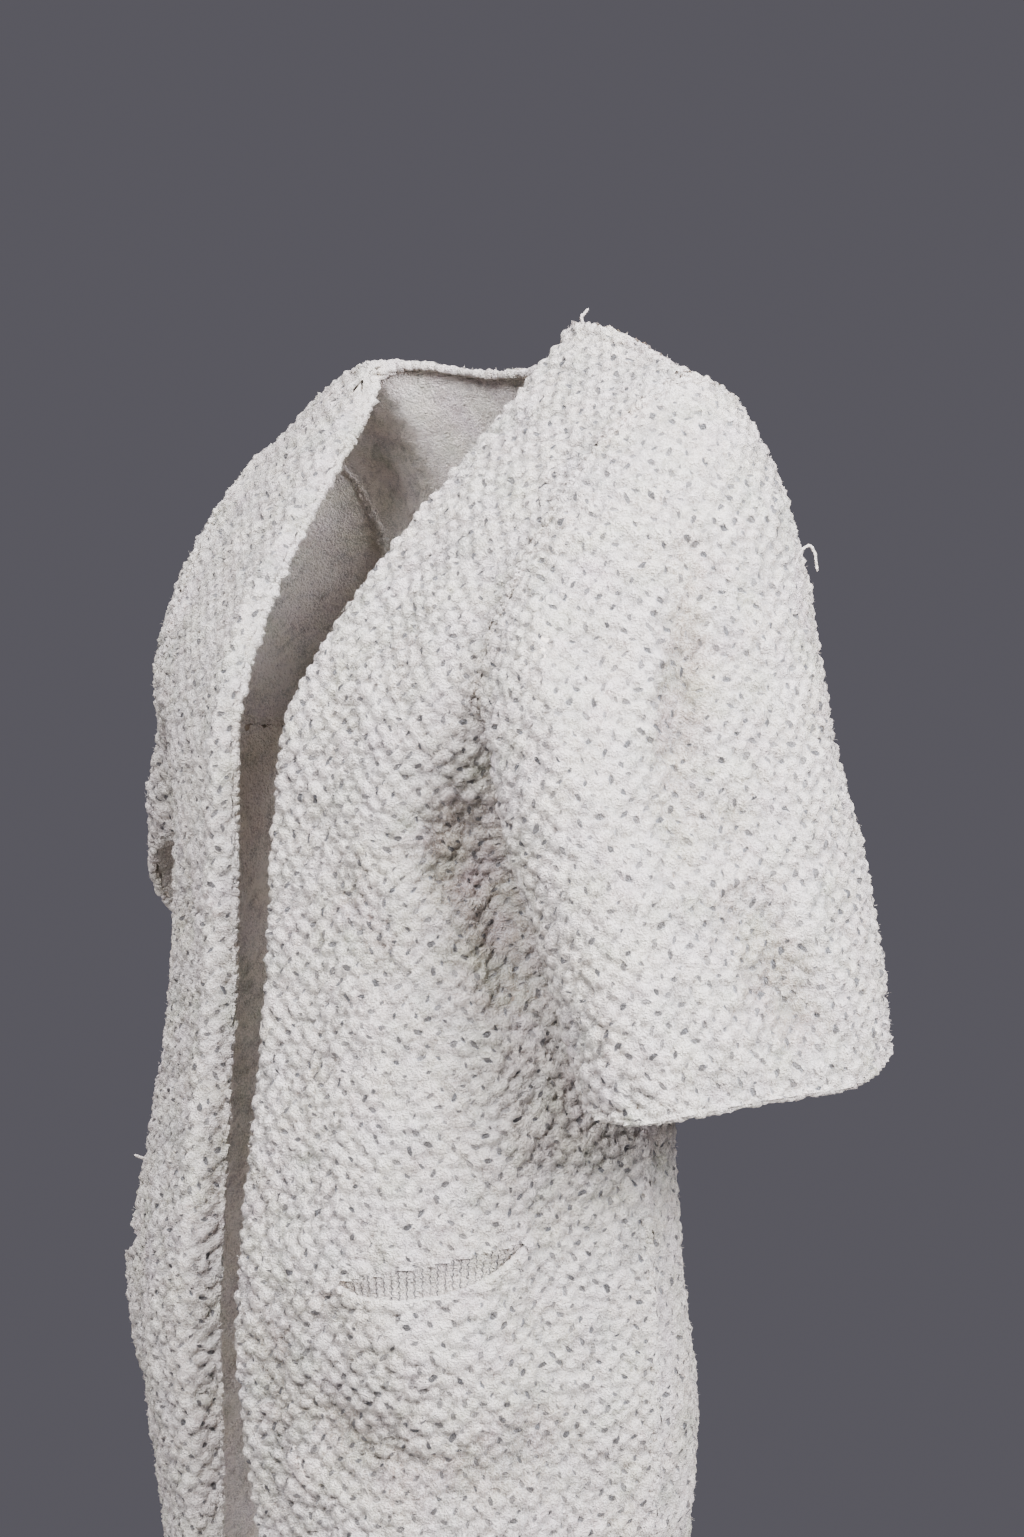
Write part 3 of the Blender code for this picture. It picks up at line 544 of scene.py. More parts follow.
def number_sides(solid, wall):
    """Number every face of a wall as its outer side, its inner side or its cut edge."""
    depths = BVHTree.FromBMesh(solid)
    for face in solid.faces:
        inward = -face.normal
        hit = depths.ray_cast(face.calc_center_median() + inward * MERGE_DISTANCE, inward)
        near = hit[0] is not None and hit[3] < THICK_SHARE * wall
        through = near and abs(hit[1].dot(inward)) > FACING_SHARE
        face.material_index = UNSORTED if through else EDGE
    sides = []
    for start in solid.faces:
        if start.material_index != UNSORTED:
            continue
        side, waiting = [], [start]
        start.material_index = len(sides) + FIRST_SIDE
        while waiting:
            face = waiting.pop()
            side.append(face)
            for edge in face.edges:
                for other in edge.link_faces:
                    if other.material_index == UNSORTED and edge.calc_face_angle(math.pi) < SHARP_ANGLE:
                        other.material_index = start.material_index
                        waiting.append(other)
        sides.append(side)
    sides.sort(key=lambda side: -sum(face.calc_area() for face in side))
    for number, side in enumerate(sides):
        for face in side:
            face.material_index = min(number, EDGE)


def smooth_mesh(name, solid, levels):
    """The solid's form unwrapped to its flat cut and rounded between its points, with its cut edges kept."""
    rough = bpy.data.meshes.new(name)
    solid.to_mesh(rough)
    solid.free()
    rough.uv_layers.new(name="cut")
    holder = link_object(name, rough)
    bpy.ops.object.select_all(action="DESELECT")
    bpy.context.view_layer.objects.active = holder
    holder.select_set(True)
    bpy.ops.object.mode_set(mode="EDIT")
    bpy.ops.mesh.select_all(action="SELECT")
    bpy.ops.uv.unwrap(method="MINIMUM_STRETCH", fill_holes=True, iterations=UNWRAP_ROUNDS, margin=0.0)
    bpy.ops.object.mode_set(mode="OBJECT")
    subsurf = holder.modifiers.new("smooth", "SUBSURF")
    subsurf.levels = subsurf.render_levels = levels
    mesh = bpy.data.meshes.new_from_object(holder.evaluated_get(bpy.context.evaluated_depsgraph_get()))
    bpy.data.objects.remove(holder)
    bpy.data.meshes.remove(rough)
    mesh.name = name
    return mesh


def read_values(items, field, width=1, kind=float):
    """One field of all the points, corners or faces of a mesh as an array, in rows where it has a width."""
    values = np.empty(len(items) * width, dtype=kind)
    items.foreach_get(field, values)
    return values.reshape(-1, width) if width > 1 else values


def lengths_along(line):
    """Length along a line at each of its points."""
    return np.concatenate([[0], np.cumsum(np.linalg.norm(np.diff(line, axis=0), axis=1))])


def at_lengths(rows, lengths, at):
    """What the points of a line hold, read at some lengths along it."""
    return np.stack([np.interp(at, lengths, rows[:, axis]) for axis in range(3)], axis=1)


def follow(line, steps):
    """Points spread evenly along a line through a few places."""
    line = np.array(line)
    lengths = lengths_along(line)
    return at_lengths(line, lengths, np.linspace(0, lengths[-1], steps))


def crease_pushes(node, points):
    """How far each crease of a piece pushes some points, fading across it and at its ends, and which way."""
    for order, fold in enumerate(CREASES.get(node, ())):
        path = follow(fold.line, CREASE_STEPS)
        along = np.linspace(0, 1, len(path))
        ripple = np.sin(RIPPLE_TURN * along + RIPPLE_SHIFT * order - RIPPLE_START)
        strength = np.sin(math.pi * along) ** CREASE_TAPER * (1 + CREASE_RIPPLE * ripple)
        out = unit(np.array(fold.out))
        apart = points[:, None] - path[None]
        depths = apart @ out
        gaps = np.linalg.norm(apart - depths[..., None] * out, axis=2)
        gaps[np.abs(depths) > CREASE_REACH] = np.inf
        fall = np.exp(-(gaps.min(axis=1) / fold.half_width) ** 2)
        yield fold.depth * fall * strength[gaps.argmin(axis=1)], out


def press_creases(node, points):
    """Points of one piece with its creases sunk and raised, both faces of the cloth together."""
    return points + sum(push[:, None] * out for push, out in crease_pushes(node, points))


def crease_shade(node, points):
    """Change of tint in the creases: painted shade darkens a trough and painted light lightens a ridge."""
    pushes = sum(push for push, out in crease_pushes(node, points))
    return PAINTED_CREASE_SHADE * (pushes / CREASE_FULL).clip(-1.0, RIDGE_SHARE)


def flat_cross(first, second):
    """Signed area between pairs of vectors in the flat."""
    return first[:, 0] * second[:, 1] - first[:, 1] * second[:, 0]


def flat_cut(mesh, side):
    """Flat cut of one side of a piece: its points, normals and places in the flat, upright as worn."""
    mesh.calc_loop_triangles()
    numbers = read_values(mesh.polygons, "material_index", kind=np.int32)
    corners = read_values(mesh.loops, "vertex_index", kind=np.int32)
    corner_places = read_values(mesh.uv_layers["cut"].uv, "vector", 2)
    faces = read_values(mesh.loop_triangles, "polygon_index", kind=np.int32)
    loops = read_values(mesh.loop_triangles, "loops", 3, np.int32)[numbers[faces] == side]
    triangles = corners[loops]
    places = np.zeros((len(mesh.vertices), 2))
    places[triangles.ravel()] = corner_places[loops.ravel()]
    points, normals = read_values(mesh.vertices, "co", 3), np.zeros((len(mesh.vertices), 3))
    a, b, c = (points[triangles[:, corner]] for corner in range(3))
    spanned = np.cross(b - a, c - a)
    for corner in range(3):
        np.add.at(normals, triangles[:, corner], spanned)
    ua, ub, uc = (places[triangles[:, corner]] for corner in range(3))
    first, second = ub - ua, uc - ua
    worn_area, flat_area = np.linalg.norm(spanned, axis=1).sum(), np.abs(flat_cross(first, second)).sum()
    rise_b, rise_c = b[:, 2] - a[:, 2], c[:, 2] - a[:, 2]
    slope = np.array([(rise_b * second[:, 1] - rise_c * first[:, 1]).sum(),
                      (rise_c * first[:, 0] - rise_b * second[:, 0]).sum()])
    turn = math.pi / 2 - math.atan2(slope[1], slope[0])
    spin = np.array([[math.cos(turn), -math.sin(turn)], [math.sin(turn), math.cos(turn)]])
    return Flat(points, unit(normals), places * math.sqrt(worn_area / flat_area) @ spin.T, triangles)


def unit(vectors):
    """Vectors scaled to length one."""
    return vectors / np.maximum(np.linalg.norm(vectors, axis=-1, keepdims=True), 1e-12)


def lift_from_flat(flat, wanted, reach=MERGE_DISTANCE):
    """Places of the flat cut carried to the worn form, a frame at each, and how far off the cut all lay.

    Places within reach of the cut go on straight past its border, and those further off drop out.
    """
    lookup = BVHTree.FromPolygons(
        [Vector((u, v, 0.0)) for u, v in flat.places], [tuple(map(int, t)) for t in flat.triangles])
    hits = [lookup.find_nearest(Vector((u, v, 0.0)), reach) for u, v in wanted]
    gaps = np.array([np.inf if hit[3] is None else hit[3] for hit in hits])
    chosen = np.array([hit[2] for hit in hits if hit[2] is not None])
    drawn = np.array([hit[0][:2] for hit in hits if hit[2] is not None])
    corners = flat.triangles[chosen]
    p, n, w = flat.points[corners], flat.normals[corners], flat.places[corners]
    first, second = w[:, 1] - w[:, 0], w[:, 2] - w[:, 0]
    area = flat_cross(first, second)
    offset = drawn - w[:, 0]
    share_b, share_c = flat_cross(offset, second) / area, flat_cross(first, offset) / area
    shares = np.stack([1 - share_b - share_c, share_b, share_c], axis=1)[:, :, None]
    out = unit((n * shares).sum(axis=1))
    side_b, side_c = p[:, 1] - p[:, 0], p[:, 2] - p[:, 0]
    across = (side_b * second[:, 1:] - side_c * first[:, 1:]) / area[:, None]
    across = unit(across - out * (across * out).sum(axis=1, keepdims=True))
    up = np.cross(out, across)
    past = wanted[np.isfinite(gaps)] - drawn
    point = (p * shares).sum(axis=1) + across * past[:, :1] + up * past[:, 1:]
    return Spots(point, across, up, out), gaps


def read_bead(form):
    """Points and triangles of a small form, which is freed, in the same order each run."""
    bmesh.ops.triangulate(form, faces=form.faces)
    form.verts.index_update()
    points, triangles = np.array([vert.co for vert in form.verts]), []
    for face in form.faces:
        corners = [vert.index for vert in face.verts]
        start = corners.index(min(corners))
        triangles.append(corners[start:] + corners[:start])
    form.free()
    return Bead(points, np.array(sorted(triangles)))


def bead(around, along, lumps=0.0, kind=0):
    """Low bead of yarn, one unit half-size, with its long way along X, and lumpy as looped yarn is."""
    form = bmesh.new()
    bmesh.ops.create_uvsphere(form, u_segments=around, v_segments=along, radius=1.0)
    bmesh.ops.rotate(form, verts=form.verts, matrix=Matrix.Rotation(math.pi / 2, 3, "Y"))
    shape = read_bead(form)
    swell = 1 + np.random.default_rng(kind).normal(0.0, lumps, (len(shape.points), 1))
    return shape._replace(points=shape.points * swell)


def turned(spots, angle):
    """The same spots with their frames turned in the plane of the cloth."""
    cos, sin = np.cos(angle)[:, None], np.sin(angle)[:, None]
    return spots._replace(
        across=spots.across * cos + spots.up * sin, up=spots.up * cos - spots.across * sin)


def stamped(shape, spots, sizes, sink):
    """Points and triangles of a bead set at every spot, and how many points each took."""
    ways = (spots.across, spots.up, spots.out)
    axes = np.stack([way * sizes[:, [axis]] for axis, way in enumerate(ways)], axis=2)
    centres = spots.point + spots.out * sink[:, None]
    points = np.einsum("nij,pj->npi", axes, shape.points) + centres[:, None]
    count = len(shape.points)
    triangles = shape.triangles[None] + (np.arange(len(centres)) * count)[:, None, None]
    return points.reshape(-1, 3), triangles.reshape(-1, 3), count


def joined_mesh(name, batches):
    """One smooth mesh of many beads, with a tint kept for each bead."""
    all_points, all_triangles, all_tints, start = [], [], [], 0
    for shape, spots, sizes, sink, tints in batches:
        points, triangles, count = stamped(shape, spots, sizes, sink)
        all_points.append(points)
        all_triangles.append(triangles + start)
        all_tints.append(np.repeat(tints, count))
        start += len(points)
    mesh = bpy.data.meshes.new(name)
    mesh.from_pydata(np.concatenate(all_points), [], np.concatenate(all_triangles))
    mesh.shade_smooth()
    set_point_values(mesh, tint=np.concatenate(all_tints))
    return mesh


def moss_relief(places, knit, chance):
    """Moss stitch over a flat cut: broad purl bumps and upright knit leaves in turn, with pits between."""
    stray = knit.unevenness
    cell = np.array([knit.stitch_width, knit.stitch_height])
    spot = (places - places.min(axis=0)) / cell + MARGIN_STITCHES
    wave = spot[:, ::-1] * math.tau / WAVE_STITCHES + chance.uniform(0, math.tau, 2)
    spot += WAVE_SHARE * stray * np.sin(wave)
    counts = spot.max(axis=0).astype(int) + 2 * MARGIN_STITCHES
    shift = chance.normal(0.0, SHIFT_SHARE * stray, (*counts, 2))
    turn = chance.normal(0.0, TURN_SHARE * stray, counts)
    swell = 1 + chance.normal(0.0, SWELL_SHARE * stray, counts).clip(*SWELL_LIMITS)
    fill = chance.uniform(0.0, PIT_FILL, counts)
    nearest = np.rint(spot).astype(int)
    height = np.zeros(len(spot))
    for step in np.ndindex(3, 3):
        stitch = nearest + np.array(step) - 1
        index = tuple(stitch.T)
        purl = (stitch.sum(axis=1) % 2 == 0)[:, None]
        size = np.where(purl, knit.purl_size, knit.knit_size) * swell[index][:, None]
        angle = turn[index] + np.where(purl[:, 0], 0.0, math.pi / 2)
        off = (spot - stitch - shift[index]) * cell
        along = off[:, 0] * np.cos(angle) + off[:, 1] * np.sin(angle)
        across = off[:, 1] * np.cos(angle) - off[:, 0] * np.sin(angle)
        round_to = 1 - (along / size[:, 0]) ** 2 - (across / size[:, 1]) ** 2
        height = np.maximum(height, np.sqrt(round_to.clip(0)) * size[:, 2])
    corner = np.floor(spot).astype(int)
    gap = np.linalg.norm(spot - corner - 0.5 - shift[tuple(corner.T)], axis=1)
    height = np.maximum(height, knit.purl_size[2] * fill[tuple(corner.T)] * np.exp(-(gap / PIT_REACH) ** 2))
    depth = 1 - height / knit.purl_size[2]
    height += knit.skin_lift + chance.normal(0.0, knit.grain, len(height))
    tint = YARN_TINT + chance.normal(0.0, TINT_SPREAD, len(height))
    return Relief(height, depth, tint, np.c_[spot, np.zeros(len(spot))])


def purl_relief(places, knit, chance):
    """The lower relief of the inside, with less painted shade in its hollows."""
    relief = moss_relief(places, knit, chance)
    return relief._replace(height=relief.height * knit.inside_share, depth=relief.depth * knit.inside_share)


def plain_relief(places, spots, brow, knit, chance):
    """Plain stitch of a lining: upright columns that come forward to the cloth above the pocket mouth."""
    nearest = brow[np.linalg.norm(spots.point[:, None] - brow[None], axis=2).argmin(axis=1)]
    way = nearest - spots.point
    forward = (way * spots.out).sum(axis=1)
    apart = np.linalg.norm(way - spots.out * forward[:, None], axis=1)
    above = -(way * spots.up).sum(axis=1)
    share = np.where(above > 0, 1.0, (1 - apart / BROW_REACH).clip(0, 1))
    row = places[:, 1] / knit.lining_stitch[1]
    column = places[:, 0] / knit.lining_stitch[0] + COLUMN_SWAY * np.sin(row * math.tau)
    across = np.abs(column % 1 - 0.5) * 2
    height = (forward + BROW_LIFT) * share ** 2 * (3 - 2 * share) + knit.leaf_height * (across ** 2)
    height[(above > BROW_COVER) | (above < -knit.mouth_depth)] = np.nan
    tint = YARN_TINT + chance.normal(0.0, LINING_SPREAD, len(row))
    return Relief(height, np.zeros(len(row)), tint, np.c_[column, row, np.zeros(len(row))])


def set_point_values(mesh, **fields):
    """Values kept on the points of a mesh for its material to read."""
    for field, values in fields.items():
        kind, part = ("FLOAT", "value") if values.ndim == 1 else ("FLOAT_VECTOR", "vector")
        attribute = mesh.attributes.new(field, kind, "POINT")
        attribute.data.foreach_set(part, values.ravel().astype(np.float32))


def knit_skin(name, flat, step, relief_of):
    """Fine grid laid over a flat cut, raised by its stitches and carried to the worn form."""
    used = flat.places[flat.triangles.ravel()]
    low, top = used.min(axis=0) - BORDER_REACH, used.max(axis=0) + BORDER_REACH
    counts = np.ceil((top - low) / step).astype(int)
    form = bmesh.new()
    bmesh.ops.create_grid(form, x_segments=int(counts[0]), y_segments=int(counts[1]), size=1.0)
    mesh = bpy.data.meshes.new(name)
    form.to_mesh(mesh)
    form.clear()
    square = read_values(mesh.vertices, "co", 3)[:, :2]
    places = low + (square - square.min(axis=0)) / np.ptp(square, axis=0) * (top - low)
    spots, gaps = lift_from_flat(flat, places, BORDER_REACH)
    kept = np.isfinite(gaps)
    relief = relief_of(places[kept], spots)
    points, values = np.zeros((len(places), 3)), {}
    points[kept] = spots.point + spots.out * relief.height[:, None]
    for field in ("depth", "tint", "stitch"):
        found = getattr(relief, field)
        values[field] = np.zeros((len(places), *found.shape[1:]))
        values[field][kept] = found
    kept &= np.isfinite(points).all(axis=1)
    points[~kept] = 0.0
    mesh.vertices.foreach_set("co", points.ravel())
    set_point_values(mesh, **values)

    corners = read_values(mesh.loops, "vertex_index", kind=np.int32).reshape(-1, 4)
    sides = np.linalg.norm(points[corners] - points[np.roll(corners, 1, axis=1)], axis=2).max(axis=1)
    dropped = ~kept[corners].all(axis=1) | (sides > STRETCH_STEPS * max(step, BORDER_REACH))
    form.from_mesh(mesh)
    bmesh.ops.delete(form, geom=[face for face, drop in zip(form.faces, dropped) if drop], context="FACES")
    bmesh.ops.dissolve_degenerate(form, dist=MERGE_DISTANCE, edges=form.edges)
    form.to_mesh(mesh)
    form.free()
    mesh.shade_smooth()
    return mesh


def lumpy_batches(sides, spots, sizes, sink, tints, chance):
    """Beads of a few lumpy kinds, dealt out at random over the spots."""
    kinds = chance.integers(LUMPY_KINDS, size=len(spots.point))
    batches = []
    for kind in range(LUMPY_KINDS):
        same = kinds == kind
        if same.any():
            shape = bead(*sides, BEAD_LUMPS, kind)
            batches.append((shape, pick(spots, same), sizes[same], sink[same], tints[same]))
    return batches


def border_lines(mesh, side):
    """Closed border lines of one side of a piece: their points in order and the cloth's normal at each."""
    form = bmesh.new()
    form.from_mesh(mesh)
    ahead = {}
    for face in form.faces:
        if face.material_index != side:
            continue
        for loop in face.loops:
            if any(other.material_index != side for other in loop.edge.link_faces):
                after = loop.link_loop_next.vert.index
                ahead[loop.vert.index] = (after, tuple(loop.vert.co), tuple(face.normal))
    form.free()
    lines = []
    while ahead:
        index, points, normals = next(iter(ahead)), [], []
        while index in ahead:
            index, point, normal = ahead.pop(index)
            points.append(point)
            normals.append(normal)
        lines.append((np.array(points), np.array(normals)))
    return lines


def spread_along(points, normals, gap):
    """Evenly spaced spots along a closed line, facing off the edge of the cloth."""
    ring, ring_normals = (np.vstack([rows, rows[:1]]) for rows in (points, normals))
    lengths = lengths_along(ring)
    count = max(3, round(lengths[-1] / gap))
    at = np.arange(count) * lengths[-1] / count
    place, normal = at_lengths(ring, lengths, at), unit(at_lengths(ring_normals, lengths, at))
    along = unit(np.roll(place, -1, axis=0) - np.roll(place, 1, axis=0))
    away = unit(np.cross(along, normal))
    return Spots(place, along, unit(np.cross(away, along)), away), lengths[-1]


def distance_to(places, nodes):
    """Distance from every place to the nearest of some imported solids."""
    nearest = np.full(len(places), np.inf)
    for node in nodes:
        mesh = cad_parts[node].data
        corners, faces = [v.co for v in mesh.vertices], [tuple(f.vertices) for f in mesh.polygons]
        tree = BVHTree.FromPolygons(corners, faces)
        nearest = np.minimum(nearest, [tree.find_nearest(Vector(place))[3] for place in places])
    return nearest


def distance_to_self(places):
    """Distance from every place of a line to the rest of that line, its own neighbours left out."""
    gaps = np.linalg.norm(places[:, None] - places[None], axis=2)
    order = np.arange(len(places))
    apart = np.abs(order[:, None] - order[None])
    gaps[np.minimum(apart, len(places) - apart) < SELF_NEIGHBOURS] = np.inf
    return gaps.min(axis=1)


def pick(spots, chosen):
    """Some of the spots."""
    return Spots(*(field[chosen] for field in spots))


def is_sewn(places, others):
    """Which places of a border line lie against another piece, or against another part of their own line."""
    return (distance_to(places, others) < SEAM_REACH) | (distance_to_self(places) < SEAM_REACH)


def edge_batches(mesh, cut, knit, chance):
    """Loops of yarn along free edges and the lower lip of a pocket mouth, and stitches over the seams."""
    others = [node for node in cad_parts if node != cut.node and not node.startswith("pocket")]
    batches = []
    for points, normals in border_lines(mesh, OUTER):
        spots, length = spread_along(points, normals, knit.edge_gap)
        if length < SPECK_LENGTH:
            continue
        lip = length < LIP_LENGTH
        if lip:
            free = pick(spots, spots.out[:, 2] > 0)
        else:
            sewn = is_sewn(spots.point, others)
            batches += seam_batches(pick(spots, sewn), knit, chance)
            free = pick(spots, ~sewn)
        count = len(free.point)
        if not count:
            continue
        middle = free.point - free.up * (cut.wall / 2 - knit.ground_depth)
        free = free._replace(point=middle + free.out * EDGE_LIFT)
        stray, size = (LIP_STRAY, knit.lip_size) if lip else (EDGE_STRAY, knit.edge_size)
        sizes = np.array(size) * (1 + chance.normal(0.0, stray.size, (count, 3)))
        tints = EDGE_TINT + chance.normal(0.0, TINT_SPREAD, count)
        free = turned(free, chance.normal(0.0, stray.turn, count))
        if lip:
            batches.append((bead(*LOOP_SIDES), free, sizes, np.zeros(count), tints))
        else:
            batches += lumpy_batches(LOOP_SIDES, free, sizes, np.zeros(count), tints, chance)
    for points, normals in border_lines(mesh, INNER):
        spots, length = spread_along(points, normals, knit.edge_gap)
        batches += seam_batches(pick(spots, is_sewn(spots.point, others)), knit, chance)
    return batches


def seam_batches(spots, knit, chance):
    """Stitches that close the cloth over a seam."""
    count = len(spots.point)
    if not count:
        return []
    spots = Spots(spots.point, spots.across, -spots.out, spots.up)
    sizes = np.array(knit.seam_size) * (1 + chance.normal(0.0, SEAM_STRAY.size, (count, 3)))
    sink = knit.skin_lift + chance.uniform(*SEAM_SINK, count)
    tints = YARN_TINT + chance.normal(0.0, TINT_SPREAD, count)
    spots = turned(spots, chance.normal(0.0, SEAM_STRAY.turn, count))
    return lumpy_batches(SEAM_SIDES, spots, sizes, sink, tints, chance)


def loose_batches(node, knit):
    """The loose ends of one piece, each a line of close beads."""
    batches = []
    for end in LOOSE_ENDS:
        if end.node == node:
            path = follow(end.line, LOOSE_BEADS)
            along = unit(np.gradient(path, axis=0))
            side = unit(np.cross(along, np.array(LOOSE_SIDE)))
            spots = Spots(path, along, side, np.cross(along, side))
            sizes = np.tile(np.array(knit.end_size), (LOOSE_BEADS, 1))
            tints = np.full(LOOSE_BEADS, LOOSE_TINT)
            batches.append((bead(*LOOP_SIDES), spots, sizes, np.zeros(LOOSE_BEADS), tints))
    return batches


def fibre():
    """Thin needle of wool, one unit half-length, pointing along Z."""
    form = bmesh.new()
    bmesh.ops.create_cone(form, cap_ends=True, segments=3, radius1=1.0, radius2=0.0, depth=2.0)
    return read_bead(form)


def fuzz_batches(flat, knit, chance):
    """Loose fibres that stand off the stitches at all angles."""
    used = flat.places[flat.triangles.ravel()]
    low, top = used.min(axis=0), used.max(axis=0)
    wanted = low + chance.random((int(knit.fuzz * np.prod(top - low)), 2)) * (top - low)
    spots, gaps = lift_from_flat(flat, wanted)
    count = len(spots.point)
    lean, facing = (chance.uniform(*limits, count)[:, None] for limits in (FIBRE_LEAN, (0, math.tau)))
    side = spots.across * np.cos(facing) + spots.up * np.sin(facing)
    out = spots.out * np.cos(lean) + side * np.sin(lean)
    across = unit(np.cross(spots.out, side))
    foot = spots.point + spots.out * chance.uniform(*FIBRE_FOOT, count)[:, None]
    sizes = np.array(FIBRE_SIZE) * chance.uniform(*FIBRE_SPREAD, count)[:, None]
    spots = Spots(foot, across, np.cross(out, across), out)
    return [(fibre(), spots, sizes, sizes[:, 2], np.full(count, FIBRE_TINT))]


def shaped_cloth(cut, knit, levels):
    """Shell of one piece on its solid's form, creased and thinned, with its sides still numbered."""
    mesh = smooth_mesh(cut.node + "_cloth", merged_solid(cut), levels)
    points = press_creases(cut.node, read_values(mesh.vertices, "co", 3))
    points -= read_values(mesh.vertex_normals, "vector", 3) * min(knit.ground_depth, cut.wall * THIN_SHARE)
    mesh.vertices.foreach_set("co", points.ravel())
    mesh.update()
    mesh.shade_smooth()
    return mesh


def knit_piece(cut, scene):
    """One moss-stitch piece: its shell, the stitches outside, the bumps inside, its edges and its fuzz."""
    knit, yarn = scene.cardigan_knit, scene.cardigan_yarn
    chance = np.random.default_rng(knit.seed + sum(map(ord, cut.node)))
    fine = shaped_cloth(cut, knit, cut.levels + 1)
    outer, inner = flat_cut(fine, OUTER), flat_cut(fine, INNER)
    stitches, inside, edge, fuzz = (cut.node + layer for layer in ("_stitches", "_inside", "_edge", "_fuzz"))
    loops = edge_batches(fine, cut, knit, chance) + loose_batches(cut.node, knit)

    def creased(relief_of):
        """The same relief, with the painted shade and light of the creases added to its tint."""
        def relief(places, spots):
            found = relief_of(places, knit, chance)
            return found._replace(tint=found.tint + crease_shade(cut.node, spots.point))
        return relief

    layers = {
        stitches: knit_skin(stitches, outer, cut.step, creased(moss_relief)),
        inside: knit_skin(inside, inner, knit.inside_step, creased(purl_relief)),
        edge: joined_mesh(edge, loops),
        fuzz: joined_mesh(fuzz, fuzz_batches(outer, knit, chance)),
    }
    bpy.data.meshes.remove(fine)
    under, behind, wool, moss = made_once(yarn, painted_shade_ground, purl_ground, boucle_yarn, moss_yarn)
    # The outer side of the shell wears the painted shade of the ground between the stitches
    cloth = add_object(
        cut.node + "_cloth", shaped_cloth(cut, knit, cut.levels), (under, behind, behind), cut.slot)
    dressed = [add_object(name, mesh, [moss if name == stitches else wool], cut.slot)
               for name, mesh in layers.items()]
    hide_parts(cut.node)


def brow_line(front, knit):
    """Points along the upper edge of a front's pocket mouth."""
    mesh = shaped_cloth(front, knit, front.levels)
    found = []
    for points, normals in border_lines(mesh, OUTER):
        spots, length = spread_along(points, normals, knit.edge_gap * BROW_SHARE)
        if SPECK_LENGTH < length < LIP_LENGTH:
            found.append(spots.point[spots.out[:, 2] <= 0])
    bpy.data.meshes.remove(mesh)
    return np.concatenate(found)


def knit_lining(cut, front, scene):
    """One plain-stitch lining: its shell, with the stitches where the pocket mouth shows them."""
    knit, yarn = scene.cardigan_knit, scene.cardigan_yarn
    chance = np.random.default_rng(knit.seed + sum(map(ord, cut.node)))
    mesh, brow = shaped_cloth(cut, knit, cut.levels + 1), brow_line(front, knit)
    name = cut.node + "_stitches"
    skin = knit_skin(name, flat_cut(mesh, OUTER), cut.step,
                     lambda places, spots: plain_relief(places, spots, brow, knit, chance))
    under, wool = made_once(yarn, purl_ground, plain_yarn)
    cloth = add_object(cut.node + "_cloth", mesh, (under, under, under), cut.slot)
    stitches = add_object(name, skin, [wool], cut.slot)
    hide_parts(cut.node)


class CARDIGAN_OT_panels(bpy.types.Operator):
    """Knit the back and the two fronts"""
    bl_idname = "cardigan.panels"
    bl_label = "Back and fronts"

    def execute(self, context):
        for cut in PANEL_CUTS:
            knit_piece(cut, context.scene)
        return {"FINISHED"}


class CARDIGAN_OT_sleeves(bpy.types.Operator):
    """Knit the two sleeves"""
    bl_idname = "cardigan.sleeves"
    bl_label = "Sleeves"

    def execute(self, context):
        for cut in SLEEVE_CUTS:
            knit_piece(cut, context.scene)
        return {"FINISHED"}


class CARDIGAN_OT_linings(bpy.types.Operator):
    """Knit the plain pocket linings"""
    bl_idname = "cardigan.linings"
    bl_label = "Pocket linings"

    def execute(self, context):
        for cut, front in zip(LINING_CUTS, PANEL_CUTS[1:]):
            knit_lining(cut, front, context.scene)
        return {"FINISHED"}


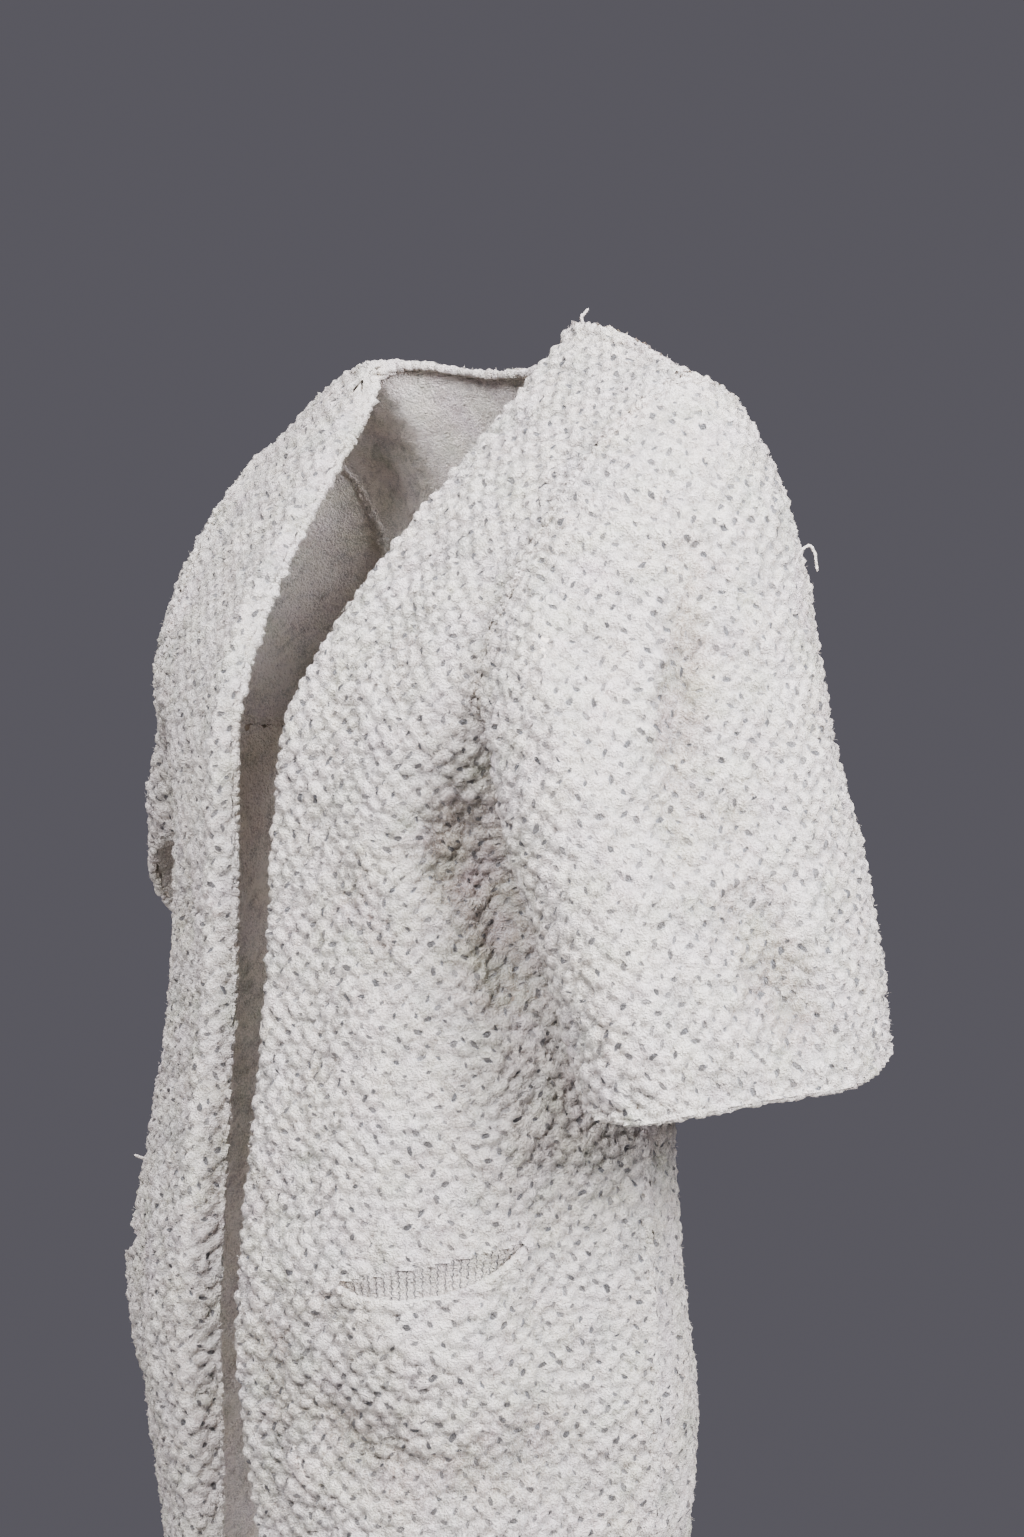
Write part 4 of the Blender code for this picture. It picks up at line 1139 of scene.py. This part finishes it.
class CARDIGAN_OT_stage(bpy.types.Operator):
    """Set the camera, the floor and the soft light"""
    bl_idname = "cardigan.stage"
    bl_label = "Stage"

    def execute(self, context):
        stage = context.scene.cardigan_stage
        toward = Vector((math.sin(stage.azimuth), -math.cos(stage.azimuth), 0.0))
        right = Vector((math.cos(stage.azimuth), math.sin(stage.azimuth), 0.0))
        up = Vector((0.0, 0.0, 1.0))
        lens = bpy.data.cameras.new("camera")
        lens.sensor_fit = "VERTICAL"
        lens.sensor_height = SENSOR_HEIGHT
        lens.lens = SENSOR_HEIGHT * stage.focal_pixels / PHOTO_HEIGHT
        camera = link_object("camera", lens)
        camera.location = toward * stage.distance + right * stage.sideways + up * stage.height
        camera.rotation_euler = (-toward).to_track_quat("-Z", "Y").to_euler()
        context.scene.camera = camera

        form = bmesh.new()
        bmesh.ops.create_circle(form, cap_ends=True, segments=FLOOR_SIDES, radius=stage.floor_radius)
        bmesh.ops.translate(form, verts=form.verts, vec=(0.0, 0.0, -stage.floor_drop))
        mesh = bpy.data.meshes.new("floor")
        form.to_mesh(mesh)
        form.free()
        material, tree = new_material("matt_floor_paint")
        finish(tree, {"Base Color": to_linear(stage.floor_colour), "Roughness": 0.9})
        mesh.materials.append(material)
        ground = link_object("floor", mesh)
        ground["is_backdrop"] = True

        world = bpy.data.worlds.new("studio")
        world.use_nodes = True
        world.node_tree.nodes["Background"].inputs["Color"].default_value = to_linear(stage.backdrop_colour)
        context.scene.world = world
        for row in LAMPS:
            light = bpy.data.lights.new(row.name, "AREA")
            light.shape = "DISK"
            light.size = row.size
            light.energy = row.power
            light.color = to_linear(stage.light_colour)[:3]
            lamp = link_object(row.name, light)
            lamp.location = toward * row.toward + right * row.right + up * row.up
            lamp.rotation_euler = (Vector(LAMP_AIM) - lamp.location).to_track_quat("-Z", "Y").to_euler()
        return {"FINISHED"}


class CARDIGAN_PT_sidebar(bpy.types.Panel):
    """Lists the cardigan's pieces and settings"""
    bl_idname = "CARDIGAN_PT_sidebar"
    bl_label = "Cardigan"
    bl_space_type = "VIEW_3D"
    bl_region_type = "UI"
    bl_category = "Cardigan"

    def draw(self, context):
        for group in SETTINGS:
            settings = getattr(context.scene, group)
            box = self.layout.box()
            for name in type(settings).__annotations__:
                box.prop(settings, name)
        for operator in OPERATORS:
            self.layout.operator(operator.bl_idname)


SETTINGS = {"cardigan_knit": KnitSettings, "cardigan_yarn": YarnSettings, "cardigan_stage": StageSettings}
OPERATORS = (CARDIGAN_OT_panels, CARDIGAN_OT_sleeves, CARDIGAN_OT_linings, CARDIGAN_OT_stage)


def register():
    """Make the settings, operators and panel known to Blender."""
    for cls in (*SETTINGS.values(), *OPERATORS, CARDIGAN_PT_sidebar):
        bpy.utils.register_class(cls)
    for name, cls in SETTINGS.items():
        setattr(bpy.types.Scene, name, bpy.props.PointerProperty(type=cls))


def unregister():
    """Take them away again."""
    for name in SETTINGS:
        delattr(bpy.types.Scene, name)
    for cls in reversed((*SETTINGS.values(), *OPERATORS, CARDIGAN_PT_sidebar)):
        bpy.utils.unregister_class(cls)


def main():
    """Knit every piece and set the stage."""
    register()
    bpy.ops.cardigan.panels()
    bpy.ops.cardigan.sleeves()
    bpy.ops.cardigan.linings()
    bpy.ops.cardigan.stage()
    boxes = {"cad": CAD_BOX, "visual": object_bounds()}
    {name: [list(map(float, corner)) for corner in box] for name, box in boxes.items()}


if __name__ == "__main__":
    main()
